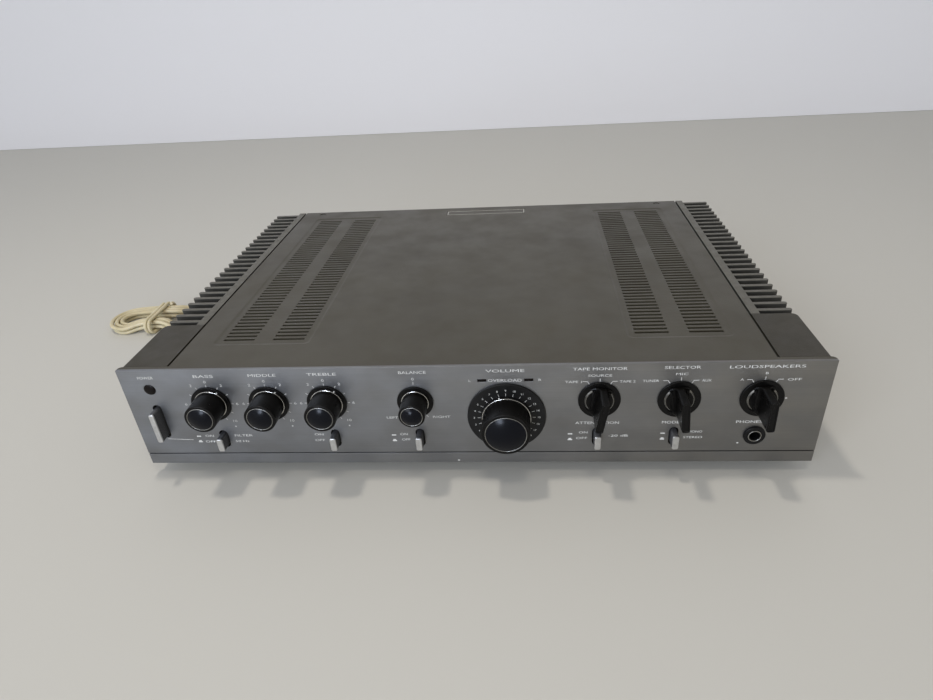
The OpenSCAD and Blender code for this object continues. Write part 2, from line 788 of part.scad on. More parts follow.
// Rotary switches with two wafers each
module rotary_switches() color("#a2855a") for (a = switch_axes) {
    control_body(a[0], a[1], pot_r, rotary_d);
    for (share = wafer_shares) difference() {
        y = works_y + share * rotary_d;
        rod_y(wafer_r, a[0], a[1], y, y + wafer_t);
        rod_y(pot_r - cut, a[0], a[1], y - cut, y + wafer_t + cut);
    }
}

// Housing of one push switch, with the pocket for the stem
module push_body(x, z, w, h, pocket_h) difference() {
    block([x - w / 2, works_y, z - h / 2], [x + w / 2, works_y + push_d, z + h / 2]);
    block([x - stem_w / 2 - slide_gap, works_y - cut, z - pocket_h / 2 - slide_gap],
          [x + stem_w / 2 + slide_gap, pocket_y, z + pocket_h / 2 + slide_gap]);
}

// Latching switches of the five small buttons and of the power button
module push_switches() color("#d8d2c0") {
    for (a = button_axes) push_body(a[0], a[1], push_w, push_h, stem_h);
    push_body(power_x, power_z, push_w, power_push_h, power_stem_h);
}

// Hexagon nuts that hold the potentiometers and the rotary switches
module control_nuts() color("#b5b0a0") for (a = shaft_axes) difference() {
    translate([a[0], inner_y - nut_t, a[1]]) rotate([-90, 0, 0]) cylinder(r = nut_r, h = nut_t, $fn = 6);
    rod_y(bush_r + seat_gap, a[0], a[1], inner_y - nut_t - cut, inner_y + cut);
}

// Laminated shell core on two foot plates
module transformer_core() color("#5c5a57") difference() {
    union() {
        block([core_x - core_w / 2, core_y, core_z], [core_x + core_w / 2, core_y + core_d, base_z + core_h]);
        for (s = [-1, 1]) translate([core_x + s * (core_w - core_leg) / 2, core_y, 0])
            block([-core_leg / 2, -core_tab, base_z], [core_leg / 2, core_d + core_tab, core_z]);
    }
    for (s = [-1, 1]) translate([core_x + s * (core_middle + core_leg) / 2, 0, 0])
        block([-core_leg / 2, core_y - cut, core_z + core_leg],
              [core_leg / 2, core_y + core_d + cut, base_z + core_h - core_leg]);
}

// Winding on the middle leg of the core
module transformer_winding() color("#b3793a") difference() {
    in_x = core_middle / 2 + winding_gap;
    out_x = in_x + winding_t;
    z0 = core_z + core_leg + winding_gap;
    z1 = base_z + core_h - core_leg - winding_gap;
    block([core_x - out_x, core_y - winding_gap - winding_t, z0],
          [core_x + out_x, core_y + core_d + winding_gap + winding_t, z1]);
    block([core_x - in_x, core_y - winding_gap, z0 - cut],
          [core_x + in_x, core_y + core_d + winding_gap, z1 + cut]);
}

// Filter capacitors standing on the base
module filter_capacitors() color("#3f5a78") for (x = can_x) {
    rod_z(can_r, x, can_y, base_z, base_z + can_h - can_step);
    rod_z(can_r - can_step, x, can_y, base_z, base_z + can_h);
}

// Two amplifier boards with their taller parts
module circuit_boards() color("#4c6b3f") for (b = boards) {
    part_z = board_z + board_t + part_h;
    row_y = board_y + board_d - part_inset;
    block([b[0], board_y, board_z], [b[1], board_y + board_d, board_z + board_t]);
    for (k = [0 : parts_in_row - 1]) {
        x = b[0] + part_inset + k * (b[1] - b[0] - 2 * part_inset) / (parts_in_row - 1);
        rod_z(part_r, x, board_y + part_inset, board_z, part_z);
        block([x - part_r, row_y - 2 * part_r, board_z], [x + part_r, row_y, part_z]);
    }
}

// Hexagon pillars that carry the boards
module board_pillars() color("#c0b27a")
    for (b = boards, x = [b[0] + pillar_inset, b[1] - pillar_inset],
         y = [board_y + pillar_inset, board_y + board_d - pillar_inset])
        translate([x, y, base_z]) cylinder(r = pillar_r, h = pillar_h, $fn = 6);

// Power transistors, two on the inner face of each heat sink
module output_transistors() color("#b8babc") both_sides() for (y = transistors_y)
    translate([side_x, y, transistor_z]) rotate([0, -90, 0]) {
        cylinder(r = can_flange_r, h = can_flange_t);
        cylinder(r = can_cap_r, h = can_flange_t + can_cap_t);
    }

// Round signal sockets, five holes on an arc round the middle of each
module input_sockets() color("#202122") for (x = din_x) difference() {
    union() {
        rod_y(din_r, x, fitting_z, back_y - din_depth, back_y + din_flange_t);
        rod_y(din_flange_r, x, fitting_z, back_y, back_y + din_flange_t);
    }
    for (k = [-2 : 2]) {
        a = k * din_pin_step;
        rod_y(din_pin_r, x + din_pin_circle * sin(a), fitting_z - din_pin_circle * cos(a),
              back_y - socket_hole_d, back_y + din_flange_t + cut);
    }
}

// Two-pole speaker sockets, one flat and one round hole each
module speaker_sockets() color("#202122") for (x = speaker_x_rear) difference() {
    union() {
        rod_y(speaker_r, x, fitting_z, back_y - din_depth, back_y + din_flange_t);
        rod_y(speaker_flange_r, x, fitting_z, back_y, back_y + din_flange_t);
    }
    blade_z = fitting_z - speaker_hole_off;
    end_y = back_y + din_flange_t + cut;
    rod_y(speaker_pin_r, x, fitting_z + speaker_hole_off, back_y - socket_hole_d, end_y);
    block([x - speaker_blade_w / 2, back_y - socket_hole_d, blade_z - speaker_blade_t / 2],
          [x + speaker_blade_w / 2, end_y, blade_z + speaker_blade_t / 2]);
}

// Fuse holders with round caps
module fuse_holders() color("#1b1b1c") for (x = fuse_x) {
    rod_y(fuse_neck_r, x, fitting_z, back_y - fuse_body_d, back_y + cut);
    rod_y(fuse_r + fuse_collar, x, fitting_z, back_y, back_y + fuse_reach - fuse_grip_t);
    rod_y(fuse_r, x, fitting_z, back_y, back_y + fuse_reach);
}

// Tapered sleeve that holds the mains cord in the rear panel
module cord_gland() color("#cbbd98") {
    rod_y(gland_r, gland_x, gland_z, rear_y - gland_inside, back_y + cut);
    rod_y(gland_collar_r, gland_x, gland_z, back_y, back_y + gland_collar_t);
    translate([gland_x, back_y + gland_collar_t, gland_z]) rotate([-90, 0, 0])
        cylinder(r1 = gland_r, r2 = gland_tip_r, h = gland_len - gland_collar_t);
}

// Unit vector, and a tube of a number of sides along points; side_hint is never along it
function unit(v) = v / norm(v);
function tangent(p, i) = unit(p[min(i + 1, len(p) - 1)] - p[max(i - 1, 0)]);
module tube(p, r, sides, side_hint) {
    n = len(p);
    rings = [for (i = [0 : n - 1])
        let (t = tangent(p, i), u = unit(cross(side_hint, t)), v = cross(t, u))
        for (k = [0 : sides - 1]) p[i] + r * (cos(360 * k / sides) * u + sin(360 * k / sides) * v)];
    walls = [for (i = [0 : n - 2], k = [0 : sides - 1])
        let (a = i * sides + k, b = i * sides + (k + 1) % sides)
        each [[a, a + sides, b], [b, a + sides, b + sides]]];
    first = [for (k = [1 : sides - 2]) [0, k, k + 1]];
    last = [for (k = [1 : sides - 2]) (n - 1) * sides * [1, 1, 1] + [0, k + 1, k]];
    polyhedron(points = rings, faces = concat(walls, first, last));
}

// Free stretch of the mains cord from the sleeve to the hank
module cord_lead() color("#c9b98f") translate([0, 0, floor_z])
    tube(lead_route, cord_r, cord_sides, [0, 0, 1]);

// Share of the waist's pull at a distance along the hank, from 1 at the tie to 0
function waist(x) = let (u = (abs(x + hank_x - tie_x) - waist_flat) / (waist_half - waist_flat))
    (1 + cos(180 * max(0, min(1, u)))) / 2;
function smooth(u) = let (c = max(0, min(1, u))) c * c * (3 - 2 * c);
// Point of the hank after a number of loops, from the middle of the hank
function hank_point(t) =
    let (phase = t - floor(t), r = hank_fold_r + hank_step * abs(t - hank_turn),
         z = cord_r + hank_layer * smooth((t - hank_turn) / hank_climb + 0.5),
         side = phase < 0.5 ? -1 : 1, part = (phase < 0.5 ? phase : phase - 0.5) * 4,
         x = side * hank_half * (2 * part - 1), turn = 180 * (part - 1))
    part < 1 ? [x, side * (r - waist_in * waist(x)), z + waist_up * waist(x)]
             : [side * (hank_half + r * sin(turn)), side * r * cos(turn), z];
// Tail: straight on from the last run, a quarter turn to the back and straight to the plug
tail_points = concat(
    [[tail_straight, 0]],
    [for (k = [1 : tail_steps]) let (a = 90 * k / tail_steps)
        [tail_straight + tail_r * sin(a), tail_r * (1 - cos(a))]],
    [[tail_straight + tail_r, tail_r + tail_straight]]);
function hank_path(rings) = concat(
    [hank_start],
    [for (i = [0 : rings * hank_loops]) hank_point(i / rings) + [hank_x, hank_y, 0]],
    [for (q = tail_points) [hank_x + hank_half + q[0], hank_y + hank_end_r + q[1], plug_z]]);
// Least distance between stretches of a path that are not neighbours along it, less the cord
function least_gap(p, apart, d) = min([for (i = [0 : len(p) - 1 - apart], j = [i + apart : len(p) - 1])
    norm(p[i] - p[j])]) - d;

// Hank of cord on the ground beside the case, as one unbroken tube
module cord_hank() color("#c9b98f") translate([0, 0, floor_z]) {
    fine = 72;
    echo(hank_gap = least_gap(hank_path(fine), fine / 4, cord_d));
    tube(hank_path(hank_rings), cord_r, hank_sides, [0, 0, 1]);
}

// Tie: two turns of thin cord round the waist of the hank
tie_turns = 2;
tie_rings = 24;
tie_sides = 6;
tie_side_gap = 0.6;
tie_pitch = tie_d + tie_side_gap;
tie_r = tie_d / 2;
tie_half_z = (cord_d + hank_layer) / 2 + tie_gap + tie_r;
tie_mid_z = tie_half_z + tie_r;
tie_half_y = hank_end_r - waist_in;
function tie_point(t) =
    let (phase = t - floor(t), side = phase < 0.5 ? -1 : 1, part = (phase < 0.5 ? phase : phase - 0.5) * 4,
         x = tie_x + tie_pitch * (t - tie_turns / 2), turn = 180 * (part - 1),
         y = part < 1 ? tie_half_y * (2 * part - 1) : tie_half_y + tie_half_z * sin(turn),
         z = part < 1 ? tie_half_z : tie_half_z * cos(turn))
    [x, hank_y + side * y, tie_mid_z - side * z];
module cord_tie() color("#cdbf99") translate([0, 0, floor_z]) {
    path = [for (i = [0 : tie_rings * tie_turns]) tie_point(i / tie_rings)];
    echo(tie_gap = least_gap(path, tie_rings / 2, tie_d));
    tube(path, tie_r, tie_sides, [1, 0, 0]);
}

// Flat two-pin plug on the end of the cord
module mains_plug() color("#d4c7a3") translate([plug_x, plug_y, floor_z + plug_z]) {
    translate([0, 0, -plug_t / 2]) linear_extrude(plug_t) polygon([
        [-plug_neck_w / 2, 0], [plug_neck_w / 2, 0], [plug_w / 2, plug_neck], [plug_w / 2, plug_len],
        [-plug_w / 2, plug_len], [-plug_w / 2, plug_neck]]);
    for (s = [-1, 1]) rod_y(pin_r, s * pin_space / 2, 0, plug_len - cut, plug_len + pin_len);
}

// Radius of the seat of a cap in a knob, radius of its dome, and the rise of the dome above its rim
function cap_seat(r) = r * (1 - cap_wall_share);
function cap_dome(r) = cap_seat(r) - seat_gap - cap_rim;
function cap_rise(r) = cap_rise_share * cap_dome(r);

// Black body of a round knob, with a flange, a collar and a seat for its cap
module round_knob(x, z, gap, flange_r, r, reach) color("#141415") {
    rim_y = reach - cap_rise(r);
    front_y = gap + flange_t;
    collar_y = front_y + collar_t;
    collar_r = r + collar_out;
    seat_y = rim_y - cap_seat_d;
    turned(x, z, [
        [shaft_r + seat_gap, gap], [flange_r - knob_edge, gap], [flange_r, gap + knob_edge],
        [flange_r, front_y - knob_edge], [flange_r - knob_edge, front_y], [collar_r, front_y],
        [collar_r, collar_y - collar_edge], [collar_r - collar_edge, collar_y], [r, collar_y],
        [r - knob_draft, rim_y - knob_edge], [r - knob_draft - knob_edge, rim_y],
        [cap_seat(r), rim_y], [cap_seat(r), seat_y], [0, seat_y],
        [0, knob_bore_depth], [shaft_r + seat_gap, knob_bore_depth]]);
}
// Domed cap with a bright rim
module round_cap(x, z, r, reach) color("#20242b") {
    rim_y = reach - cap_rise(r);
    seat_r = cap_seat(r) - seat_gap;
    dome = cap_dome(r);
    dome_r = (dome * dome + cap_rise(r) * cap_rise(r)) / (2 * cap_rise(r));
    crown = [for (k = [0 : cap_steps]) let (a = asin(dome / dome_r) * (1 - k / cap_steps))
        [dome_r * sin(a), reach - dome_r * (1 - cos(a))]];
    turned(x, z, concat([[0, rim_y - cap_seat_d], [seat_r, rim_y - cap_seat_d], [seat_r, rim_y]], crown));
}
// Round shaft from inside a control to the end of its knob's bore
module shaft(x, z) color("#c4c6c8") rod_y(shaft_r, x, z, knob_bore_gap - knob_bore_depth, shaft_end_y);

// Shaft of a switch, with two flats on the end that goes into the grip
module switch_shaft(x, tilt) color("#c4c6c8") translate([x, 0, knob_z]) rotate([0, tilt, 0]) {
    rod_y(shaft_r, 0, 0, knob_bore_gap - switch_bore_depth, shaft_end_y);
    flat_end(shaft_r, shaft_flat_w, knob_bore_gap - knob_bore_depth);
}
// Round end with two flats, from its tip to the panel's face
module flat_end(r, w, tip_y) intersection() {
    rod_y(r, 0, 0, tip_y, 0);
    block([-w / 2, tip_y, -r], [w / 2, 0, r]);
}

// Switch knob: a flange, a low disc and a grip with filleted sides, turned by its tilt
module switch_knob(x, tilt) color("#141415") translate([x, 0, knob_z]) rotate([0, tilt, 0]) difference() {
    front_y = knob_gap + flange_t;
    disc_y = knob_gap + switch_disc_t;
    union() {
        turned(0, 0, [
            [0, knob_gap], [switch_flange_r - knob_edge, knob_gap], [switch_flange_r, knob_gap + knob_edge],
            [switch_flange_r, front_y - knob_edge], [switch_flange_r - knob_edge, front_y],
            [switch_disc_r, front_y], [switch_disc_r, disc_y - knob_edge], [switch_disc_r - knob_edge, disc_y],
            [0, disc_y]]);
        switch_grip(front_y);
    }
    stadium_y(grip_groove_w, grip_groove_len, 0, 0, -switch_reach - cut, grip_groove_d - switch_reach);
    rod_y(shaft_r + seat_gap, 0, 0, -switch_bore_depth, cut);
    flat_end(shaft_r + seat_gap, shaft_flat_w + 2 * seat_gap, -knob_bore_depth);
}
// Grip across a switch knob: a bar with round ends that widens to its foot
module switch_grip(foot_y) difference() {
    turned(0, 0, [
        [0, knob_gap + cut], [grip_len / 2, knob_gap + cut], [grip_len / 2, switch_reach - knob_edge],
        [grip_len / 2 - knob_edge, switch_reach], [0, switch_reach]]);
    both_sides() translate([grip_w / 2 + grip_fillet_r, -foot_y - grip_fillet_r, -grip_len]) {
        cylinder(r = grip_fillet_r, h = 2 * grip_len);
        translate([-grip_fillet_r, -switch_reach, 0]) cube([2 * grip_len, switch_reach, 2 * grip_len]);
        translate([0, -switch_reach, 0]) cube([2 * grip_len, switch_reach + grip_fillet_r, 2 * grip_len]);
    }
}

// Push button: a bar with round ends on a narrow stem
module push_button(x, z, w, h, reach, stem) color("#b9bcbe") {
    stadium_y(w, h, x, z, -reach, stem_y);
    block([x - stem_w / 2, stem_y - cut, z - stem / 2], [x + stem_w / 2, stem_end_y, z + stem / 2]);
}

module bass_knob() round_knob(bass_x, knob_z, knob_gap, tone_flange_r, tone_r, tone_reach);
module bass_cap() round_cap(bass_x, knob_z, tone_r, tone_reach);
module bass_shaft() shaft(bass_x, knob_z);
module mid_knob() round_knob(mid_x, knob_z, knob_gap, tone_flange_r, tone_r, tone_reach);
module mid_cap() round_cap(mid_x, knob_z, tone_r, tone_reach);
module mid_shaft() shaft(mid_x, knob_z);
module treble_knob() round_knob(treble_x, knob_z, knob_gap, tone_flange_r, tone_r, tone_reach);
module treble_cap() round_cap(treble_x, knob_z, tone_r, tone_reach);
module treble_shaft() shaft(treble_x, knob_z);
module balance_knob() round_knob(balance_x, knob_z, knob_gap, balance_flange_r, balance_r, balance_reach);
module balance_cap() round_cap(balance_x, knob_z, balance_r, balance_reach);
module balance_shaft() shaft(balance_x, knob_z);
module volume_knob()
    round_knob(volume_x, volume_z, dial_t + knob_gap, volume_flange_r, volume_r, volume_reach);
module volume_cap() round_cap(volume_x, volume_z, volume_r, volume_reach);
module volume_shaft() shaft(volume_x, volume_z);
module monitor_knob() switch_knob(monitor_x, monitor_tilt);
module monitor_shaft() switch_shaft(monitor_x, monitor_tilt);
module source_knob() switch_knob(source_x, source_tilt);
module source_shaft() switch_shaft(source_x, source_tilt);
module speaker_knob() switch_knob(speaker_x, speaker_tilt);
module speaker_shaft() switch_shaft(speaker_x, speaker_tilt);
module filter_button() push_button(filter_x, button_z, button_w, button_h, button_reach, stem_h);
module tone_button() push_button(tone_x, button_z, button_w, button_h, button_reach, stem_h);
module loudness_button() push_button(loudness_x, button_z, button_w, button_h, button_reach, stem_h);
module mute_button() push_button(mute_x, button_z, button_w, button_h, button_reach, stem_h);
module mode_button() push_button(mode_x, button_z, button_w, button_h, button_reach, stem_h);
module power_button() push_button(power_x, power_z, power_w, power_h, power_reach, power_stem_h);

placed() fascia();
placed() lower_strip();
placed() front_frame();
placed() inner_plate();
placed() base_plate();
placed() rear_panel();
placed() top_cover();
placed() heat_sinks();
placed() side_blocks();
placed() cover_rails();
placed() feet();
placed() screws();
placed() volume_dial();
placed() indicator_lamps();
placed() headphone_jack();
placed() potentiometers();
placed() rotary_switches();
placed() push_switches();
placed() control_nuts();
placed() transformer_core();
placed() transformer_winding();
placed() filter_capacitors();
placed() circuit_boards();
placed() board_pillars();
placed() output_transistors();
placed() input_sockets();
placed() speaker_sockets();
placed() fuse_holders();
placed() cord_gland();
placed() cord_lead();
placed() cord_hank();
placed() cord_tie();
placed() mains_plug();
placed() bass_knob();
placed() bass_cap();
placed() bass_shaft();
placed() mid_knob();
placed() mid_cap();
placed() mid_shaft();
placed() treble_knob();
placed() treble_cap();
placed() treble_shaft();
placed() balance_knob();
placed() balance_cap();
placed() balance_shaft();
placed() volume_knob();
placed() volume_cap();
placed() volume_shaft();
placed() monitor_knob();
placed() monitor_shaft();
placed() source_knob();
placed() source_shaft();
placed() speaker_knob();
placed() speaker_shaft();
placed() filter_button();
placed() tone_button();
placed() loudness_button();
placed() mute_button();
placed() mode_button();
placed() power_button();
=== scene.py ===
# Integrated stereo amplifier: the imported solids, dressed with finished meshes and materials.
# Sizes are millimetres in the amplifier's own frame, and become metres as a piece is made.
import math

import bmesh
import bpy
from mathutils import Matrix, Vector


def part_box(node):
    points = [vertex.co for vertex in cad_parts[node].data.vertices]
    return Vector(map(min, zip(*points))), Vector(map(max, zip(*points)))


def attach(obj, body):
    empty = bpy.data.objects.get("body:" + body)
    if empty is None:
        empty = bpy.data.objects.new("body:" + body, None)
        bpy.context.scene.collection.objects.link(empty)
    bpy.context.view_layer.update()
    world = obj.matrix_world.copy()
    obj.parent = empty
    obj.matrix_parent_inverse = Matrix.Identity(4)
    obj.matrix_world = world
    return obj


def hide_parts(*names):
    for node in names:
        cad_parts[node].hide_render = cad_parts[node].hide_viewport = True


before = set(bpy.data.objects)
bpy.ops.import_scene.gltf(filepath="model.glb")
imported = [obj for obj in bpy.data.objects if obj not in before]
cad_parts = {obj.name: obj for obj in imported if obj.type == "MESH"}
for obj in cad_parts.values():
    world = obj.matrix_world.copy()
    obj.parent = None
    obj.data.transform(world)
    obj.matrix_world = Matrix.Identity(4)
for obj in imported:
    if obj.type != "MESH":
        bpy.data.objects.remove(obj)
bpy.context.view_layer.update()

# Camera
# A phone held in front of the amplifier and above it, with its wide lens. Place and turn were
# solved from the corners of the front panel, the cover and the control axes.
MM = 0.001
CAMERA_PLACE = Vector((43.6, -489.3, 299.8))
CAMERA_TURN = (59.33, 3.03, 3.24)
CAMERA_LENS = 24.285
CAMERA_SHIFT = -0.0171

stage = bpy.context.scene
camera = bpy.data.objects.new("camera", bpy.data.cameras.new("camera"))
camera.data.sensor_fit = "HORIZONTAL"
camera.data.sensor_width = 36.0
camera.data.lens = CAMERA_LENS
camera.data.shift_x = CAMERA_SHIFT
camera.data.clip_start = 0.01
camera.location = CAMERA_PLACE * MM
camera.rotation_euler = [math.radians(turn) for turn in CAMERA_TURN]
stage.collection.objects.link(camera)
stage.camera = camera
stage.view_settings.view_transform = "Standard"

# Table and backdrop
# A plain pale laminate table top with the dull sheen of melamine, and far behind it a paper
# backdrop that rises in a wide curve.
TABLE_HALF = 6000
TABLE_COLOUR = "#c5c4be"
PAPER_COLOUR = "#eff0f4"
PAPER_FROM = 1000
PAPER_R = 700
PAPER_TOP = 3500
PAPER_STEPS = 16
PAPER_LIFT = 0.5


def linear(colour):
    """Linear colour of an sRGB hex value."""
    parts = [int(colour[k:k + 2], 16) / 255 for k in (1, 3, 5)]
    return [p / 12.92 if p <= 0.04045 else ((p + 0.055) / 1.055) ** 2.4 for p in parts] + [1.0]


def add(tree, kind, inputs=None, **settings):
    """Adds a shader node with its settings, and sets or links its sockets."""
    node = tree.nodes.new("ShaderNode" + kind)
    for key, value in settings.items():
        setattr(node, key, value)
    for socket, value in (inputs or {}).items():
        if isinstance(value, bpy.types.NodeSocket):
            tree.links.new(value, node.inputs[socket])
        else:
            node.inputs[socket].default_value = value
    return node


def new_finish(name):
    """An empty material, its node tree and the place on the piece that its patterns read."""
    made = bpy.data.materials.new(name)
    made.use_nodes = True
    made.node_tree.nodes.clear()
    return made, made.node_tree, add(made.node_tree, "TexCoord").outputs["Object"]


def close_finish(tree, sockets):
    """Ends a material with its shader."""
    shader = add(tree, "BsdfPrincipled", sockets)
    add(tree, "OutputMaterial", {"Surface": shader.outputs["BSDF"]})


laminate, tree, place = new_finish("melamine_laminate")
close_finish(tree, {"Base Color": linear(TABLE_COLOUR), "Roughness": 0.62})
paper, tree, place = new_finish("matt_backdrop_paper")
close_finish(tree, {"Base Color": linear(PAPER_COLOUR), "Roughness": 0.9})


def shaped(bm, name, finish):
    """Makes a mesh in mm an object in metres with a finish."""
    bmesh.ops.scale(bm, vec=(MM, MM, MM), verts=bm.verts)
    data = bpy.data.meshes.new(name)
    bm.to_mesh(data)
    bm.free()
    data.shade_smooth()
    data.materials.append(finish)
    made = bpy.data.objects.new(name, data)
    stage.collection.objects.link(made)
    return made


def pulled(bm, grown, vec):
    """Moves the vertices that an extrusion has made."""
    verts = [v for v in grown["geom"] if isinstance(v, bmesh.types.BMVert)]
    bmesh.ops.translate(bm, vec=vec, verts=verts)


top = bmesh.new()
bmesh.ops.create_grid(top, x_segments=1, y_segments=1, size=TABLE_HALF)
shaped(top, "table", laminate)

sweep = bmesh.new()
profile = []
for k in range(PAPER_STEPS + 1):
    turn = math.pi / 2 * k / PAPER_STEPS
    profile.append((PAPER_FROM + PAPER_R * math.sin(turn), PAPER_LIFT + PAPER_R * (1 - math.cos(turn))))
profile.append((PAPER_FROM + PAPER_R, PAPER_TOP))
knots = [sweep.verts.new((-TABLE_HALF, y, z)) for y, z in profile]
edges = [sweep.edges.new(pair) for pair in zip(knots, knots[1:])]
pulled(sweep, bmesh.ops.extrude_edge_only(sweep, edges=edges), (2 * TABLE_HALF, 0, 0))
bmesh.ops.recalc_face_normals(sweep, faces=sweep.faces)
shaped(sweep, "backdrop", paper)

# Light
# A pale room with bright walls, cooler on the left and warmer on the right, under a dimmer ceiling.
# A small lamp above the left half throws the short shadows of the knobs and a wider one in front
# lightens them. The domes mirror a wide window and a lower one.
ROOM_LEFT = "#eaedf3"
ROOM_RIGHT = "#d6d0c6"
WALL_LEVEL = 1.0
CEILING_LEVEL = 0.42
LAMPS = [
    ("left_lamp", (-250, -70, 1350), (-60, -100, 0), 95, 4.4, "#fff6ea"),
    ("front_lamp", (100, -560, 1350), (0, -100, 0), 240, 2.3, "#fff6ea"),
    ("window", (-1100, -1900, 1000), (-100, -150, 50), 1100, 21.0, "#eaf0fb"),
    ("low_window", (-560, -2310, 262), (-60, -154, 60), 480, 13.0, "#d9e5fb"),
]


def tint(tree, share, colour, other):
    """Colour that goes from one to another by a share; each is a hex value or a socket."""
    sides = [linear(c) if isinstance(c, str) else c for c in (colour, other)]
    return add(tree, "MixRGB", {"Fac": share, "Color1": sides[0], "Color2": sides[1]}).outputs["Color"]


room = bpy.data.worlds.new("room")
room.use_nodes = True
room.node_tree.nodes.clear()
tree = room.node_tree
way = add(tree, "SeparateXYZ", {0: add(tree, "TexCoord").outputs["Generated"]})
share = add(tree, "MapRange", {"Value": way.outputs["X"], "From Min": -1.0, "From Max": 1.0})
level = add(tree, "MapRange", {"Value": way.outputs["Z"], "To Min": WALL_LEVEL, "To Max": CEILING_LEVEL})
sky = add(tree, "Background", {"Color": tint(tree, share.outputs["Result"], ROOM_LEFT, ROOM_RIGHT),
                               "Strength": level.outputs["Result"]})
add(tree, "OutputWorld", {"Surface": sky.outputs["Background"]})
stage.world = room
for name, spot, target, size, power, colour in LAMPS:
    lamp = bpy.data.objects.new(name, bpy.data.lights.new(name, "AREA"))
    lamp.data.size = size * MM
    lamp.data.energy = power
    lamp.data.color = linear(colour)[:3]
    lamp.location = Vector(spot) * MM
    lamp.rotation_euler = (Vector(target) - Vector(spot)).to_track_quat("-Z", "Y").to_euler()
    stage.collection.objects.link(lamp)

# Base plate, bars and inner plate
# Zinc-plated steel sheet, cut and punched. Plating leaves a dull metal with soft grey clouds and a
# trace of yellow passivation. The bars under the cover are coloured matt black as painted shade, so
# that the narrow groove between the cover and the blocks reads dark.


def mottle(tree, place, size, low=0.0, high=1.0, detail=3.0):
    """Cloudy pattern between two values, with clouds of one size in mm or of one along each axis."""
    sizes = size if isinstance(size, tuple) else (size,) * 3
    scaled = add(tree, "Mapping", {"Vector": place, "Scale": [1 / (MM * s) for s in sizes]})
    cloud = add(tree, "TexNoise", {"Vector": scaled.outputs["Vector"], "Scale": 1.0, "Detail": detail})
    return add(tree, "MapRange", {"Value": cloud.outputs["Fac"], "From Min": 0.3, "From Max": 0.7,
                                  "To Min": low, "To Max": high}).outputs["Result"]


def relief(tree, height, depth):
    """Surface normal of a pattern that stands out by a depth in mm."""
    return add(tree, "Bump", {"Height": height, "Distance": depth * MM}).outputs["Normal"]


def clouded(name, colours, size, rough, metal=0.0, grain=None, specular=0.5, share=1.0, extra=None):
    """Finish in clouds of two colours, up to a share of the second, or plain in one. Its roughness is
    a value or a cloud's size and two values; a grain is the size and depth of a fine relief."""
    made, tree, place = new_finish(name)
    sockets = {"Metallic": metal, "Specular IOR Level": specular}
    if isinstance(colours, str):
        sockets["Base Color"] = linear(colours)
    else:
        sockets["Base Color"] = tint(tree, mottle(tree, place, size, 0.0, share), *colours)
    sockets["Roughness"] = mottle(tree, place, *rough) if isinstance(rough, tuple) else rough
    if grain:
        sockets["Normal"] = relief(tree, mottle(tree, place, grain[0]), grain[1])
    close_finish(tree, {**sockets, **(extra or {})})
    return made


def dress(finish, *nodes):
    """Gives solids that keep their shape a finish."""
    for node in nodes:
        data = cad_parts[node].data
        data.materials.clear()
        data.materials.append(finish)


zinc = clouded("zinc_plated_steel", ("#b4b7b9", "#b5ae98"), 30, (7, 0.3, 0.5), 1.0, (1.2, 0.03))
dress(zinc, "base_plate", "inner_plate")
# Matt black used as painted shade, in the bars under the cover and in the fascia's groove.
shade_black = clouded("painted_shade_black", ("#0e0e0d", "#181715"), 10, 0.8)
dress(shade_black, "cover_rails")

# Feet
# Four moulded rubber cones, screwed up through the base from a recess in each. Matt, with a
# little dust in the pores.
FOOT_TOP_R = 14
FOOT_R = 12
FOOT_RECESS_R = 4
FOOT_RECESS_D = 5
FOOT_BORE_R = 1.6


def node_box(node):
    """Lowest and highest corner of a solid, in mm."""
    low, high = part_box(node)
    return low / MM, high / MM


def turned(outline, steps=48, ring=False):
    """Mesh turned about Z from points of radius and height; a ring's outline is closed."""
    bm = bmesh.new()
    points = [bm.verts.new((r, 0, h)) for r, h in outline]
    edges = [bm.edges.new(pair) for pair in zip(points, points[1:])]
    if ring:
        edges.append(bm.edges.new((points[-1], points[0])))
    bmesh.ops.spin(bm, geom=points + edges, cent=(0, 0, 0), axis=(0, 0, 1), angle=math.tau,
                   steps=steps, use_merge=True)
    bmesh.ops.remove_doubles(bm, verts=bm.verts, dist=1e-4)
    bmesh.ops.recalc_face_normals(bm, faces=bm.faces)
    return bm


def soften(bm, width, segments=2, sharp=40, where=None):
    """Rounds the edges that are sharper than an angle, all or those that pass a test."""
    edges = [e for e in bm.edges if len(e.link_faces) == 2 and e.calc_face_angle() > math.radians(sharp)
             and (where is None or where((e.verts[0].co + e.verts[1].co) / 2))]
    bmesh.ops.bevel(bm, geom=edges, offset=width, offset_type="OFFSET", affect="EDGES",
                    segments=segments, profile=0.5, material=-1, clamp_overlap=True)


def join(whole, part, matrix=Matrix.Identity(4)):
    """Adds one mesh to another, moved by a matrix."""
    bmesh.ops.transform(part, matrix=matrix, verts=part.verts)
    data = bpy.data.meshes.new("part")
    part.to_mesh(data)
    part.free()
    whole.from_mesh(data)
    bpy.data.meshes.remove(data)


def piece(bm, name, finish, body, replaced=(), smooth=35, matrix=Matrix.Identity(4)):
    """Makes a mesh, moved by a matrix, a piece that rides on a body and may stand for solids."""
    bmesh.ops.transform(bm, matrix=matrix, verts=bm.verts)
    made = shaped(bm, name, finish)
    made.data.set_sharp_from_angle(angle=math.radians(smooth))
    flat = made.modifiers.new("flat_faces", "WEIGHTED_NORMAL")
    flat.keep_sharp = True
    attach(made, body)
    if replaced:
        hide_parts(*replaced)
    return made


rubber = clouded("moulded_rubber", ("#1d1d1d", "#3d3b37"), 5, 0.78, grain=(0.7, 0.05), share=0.5)

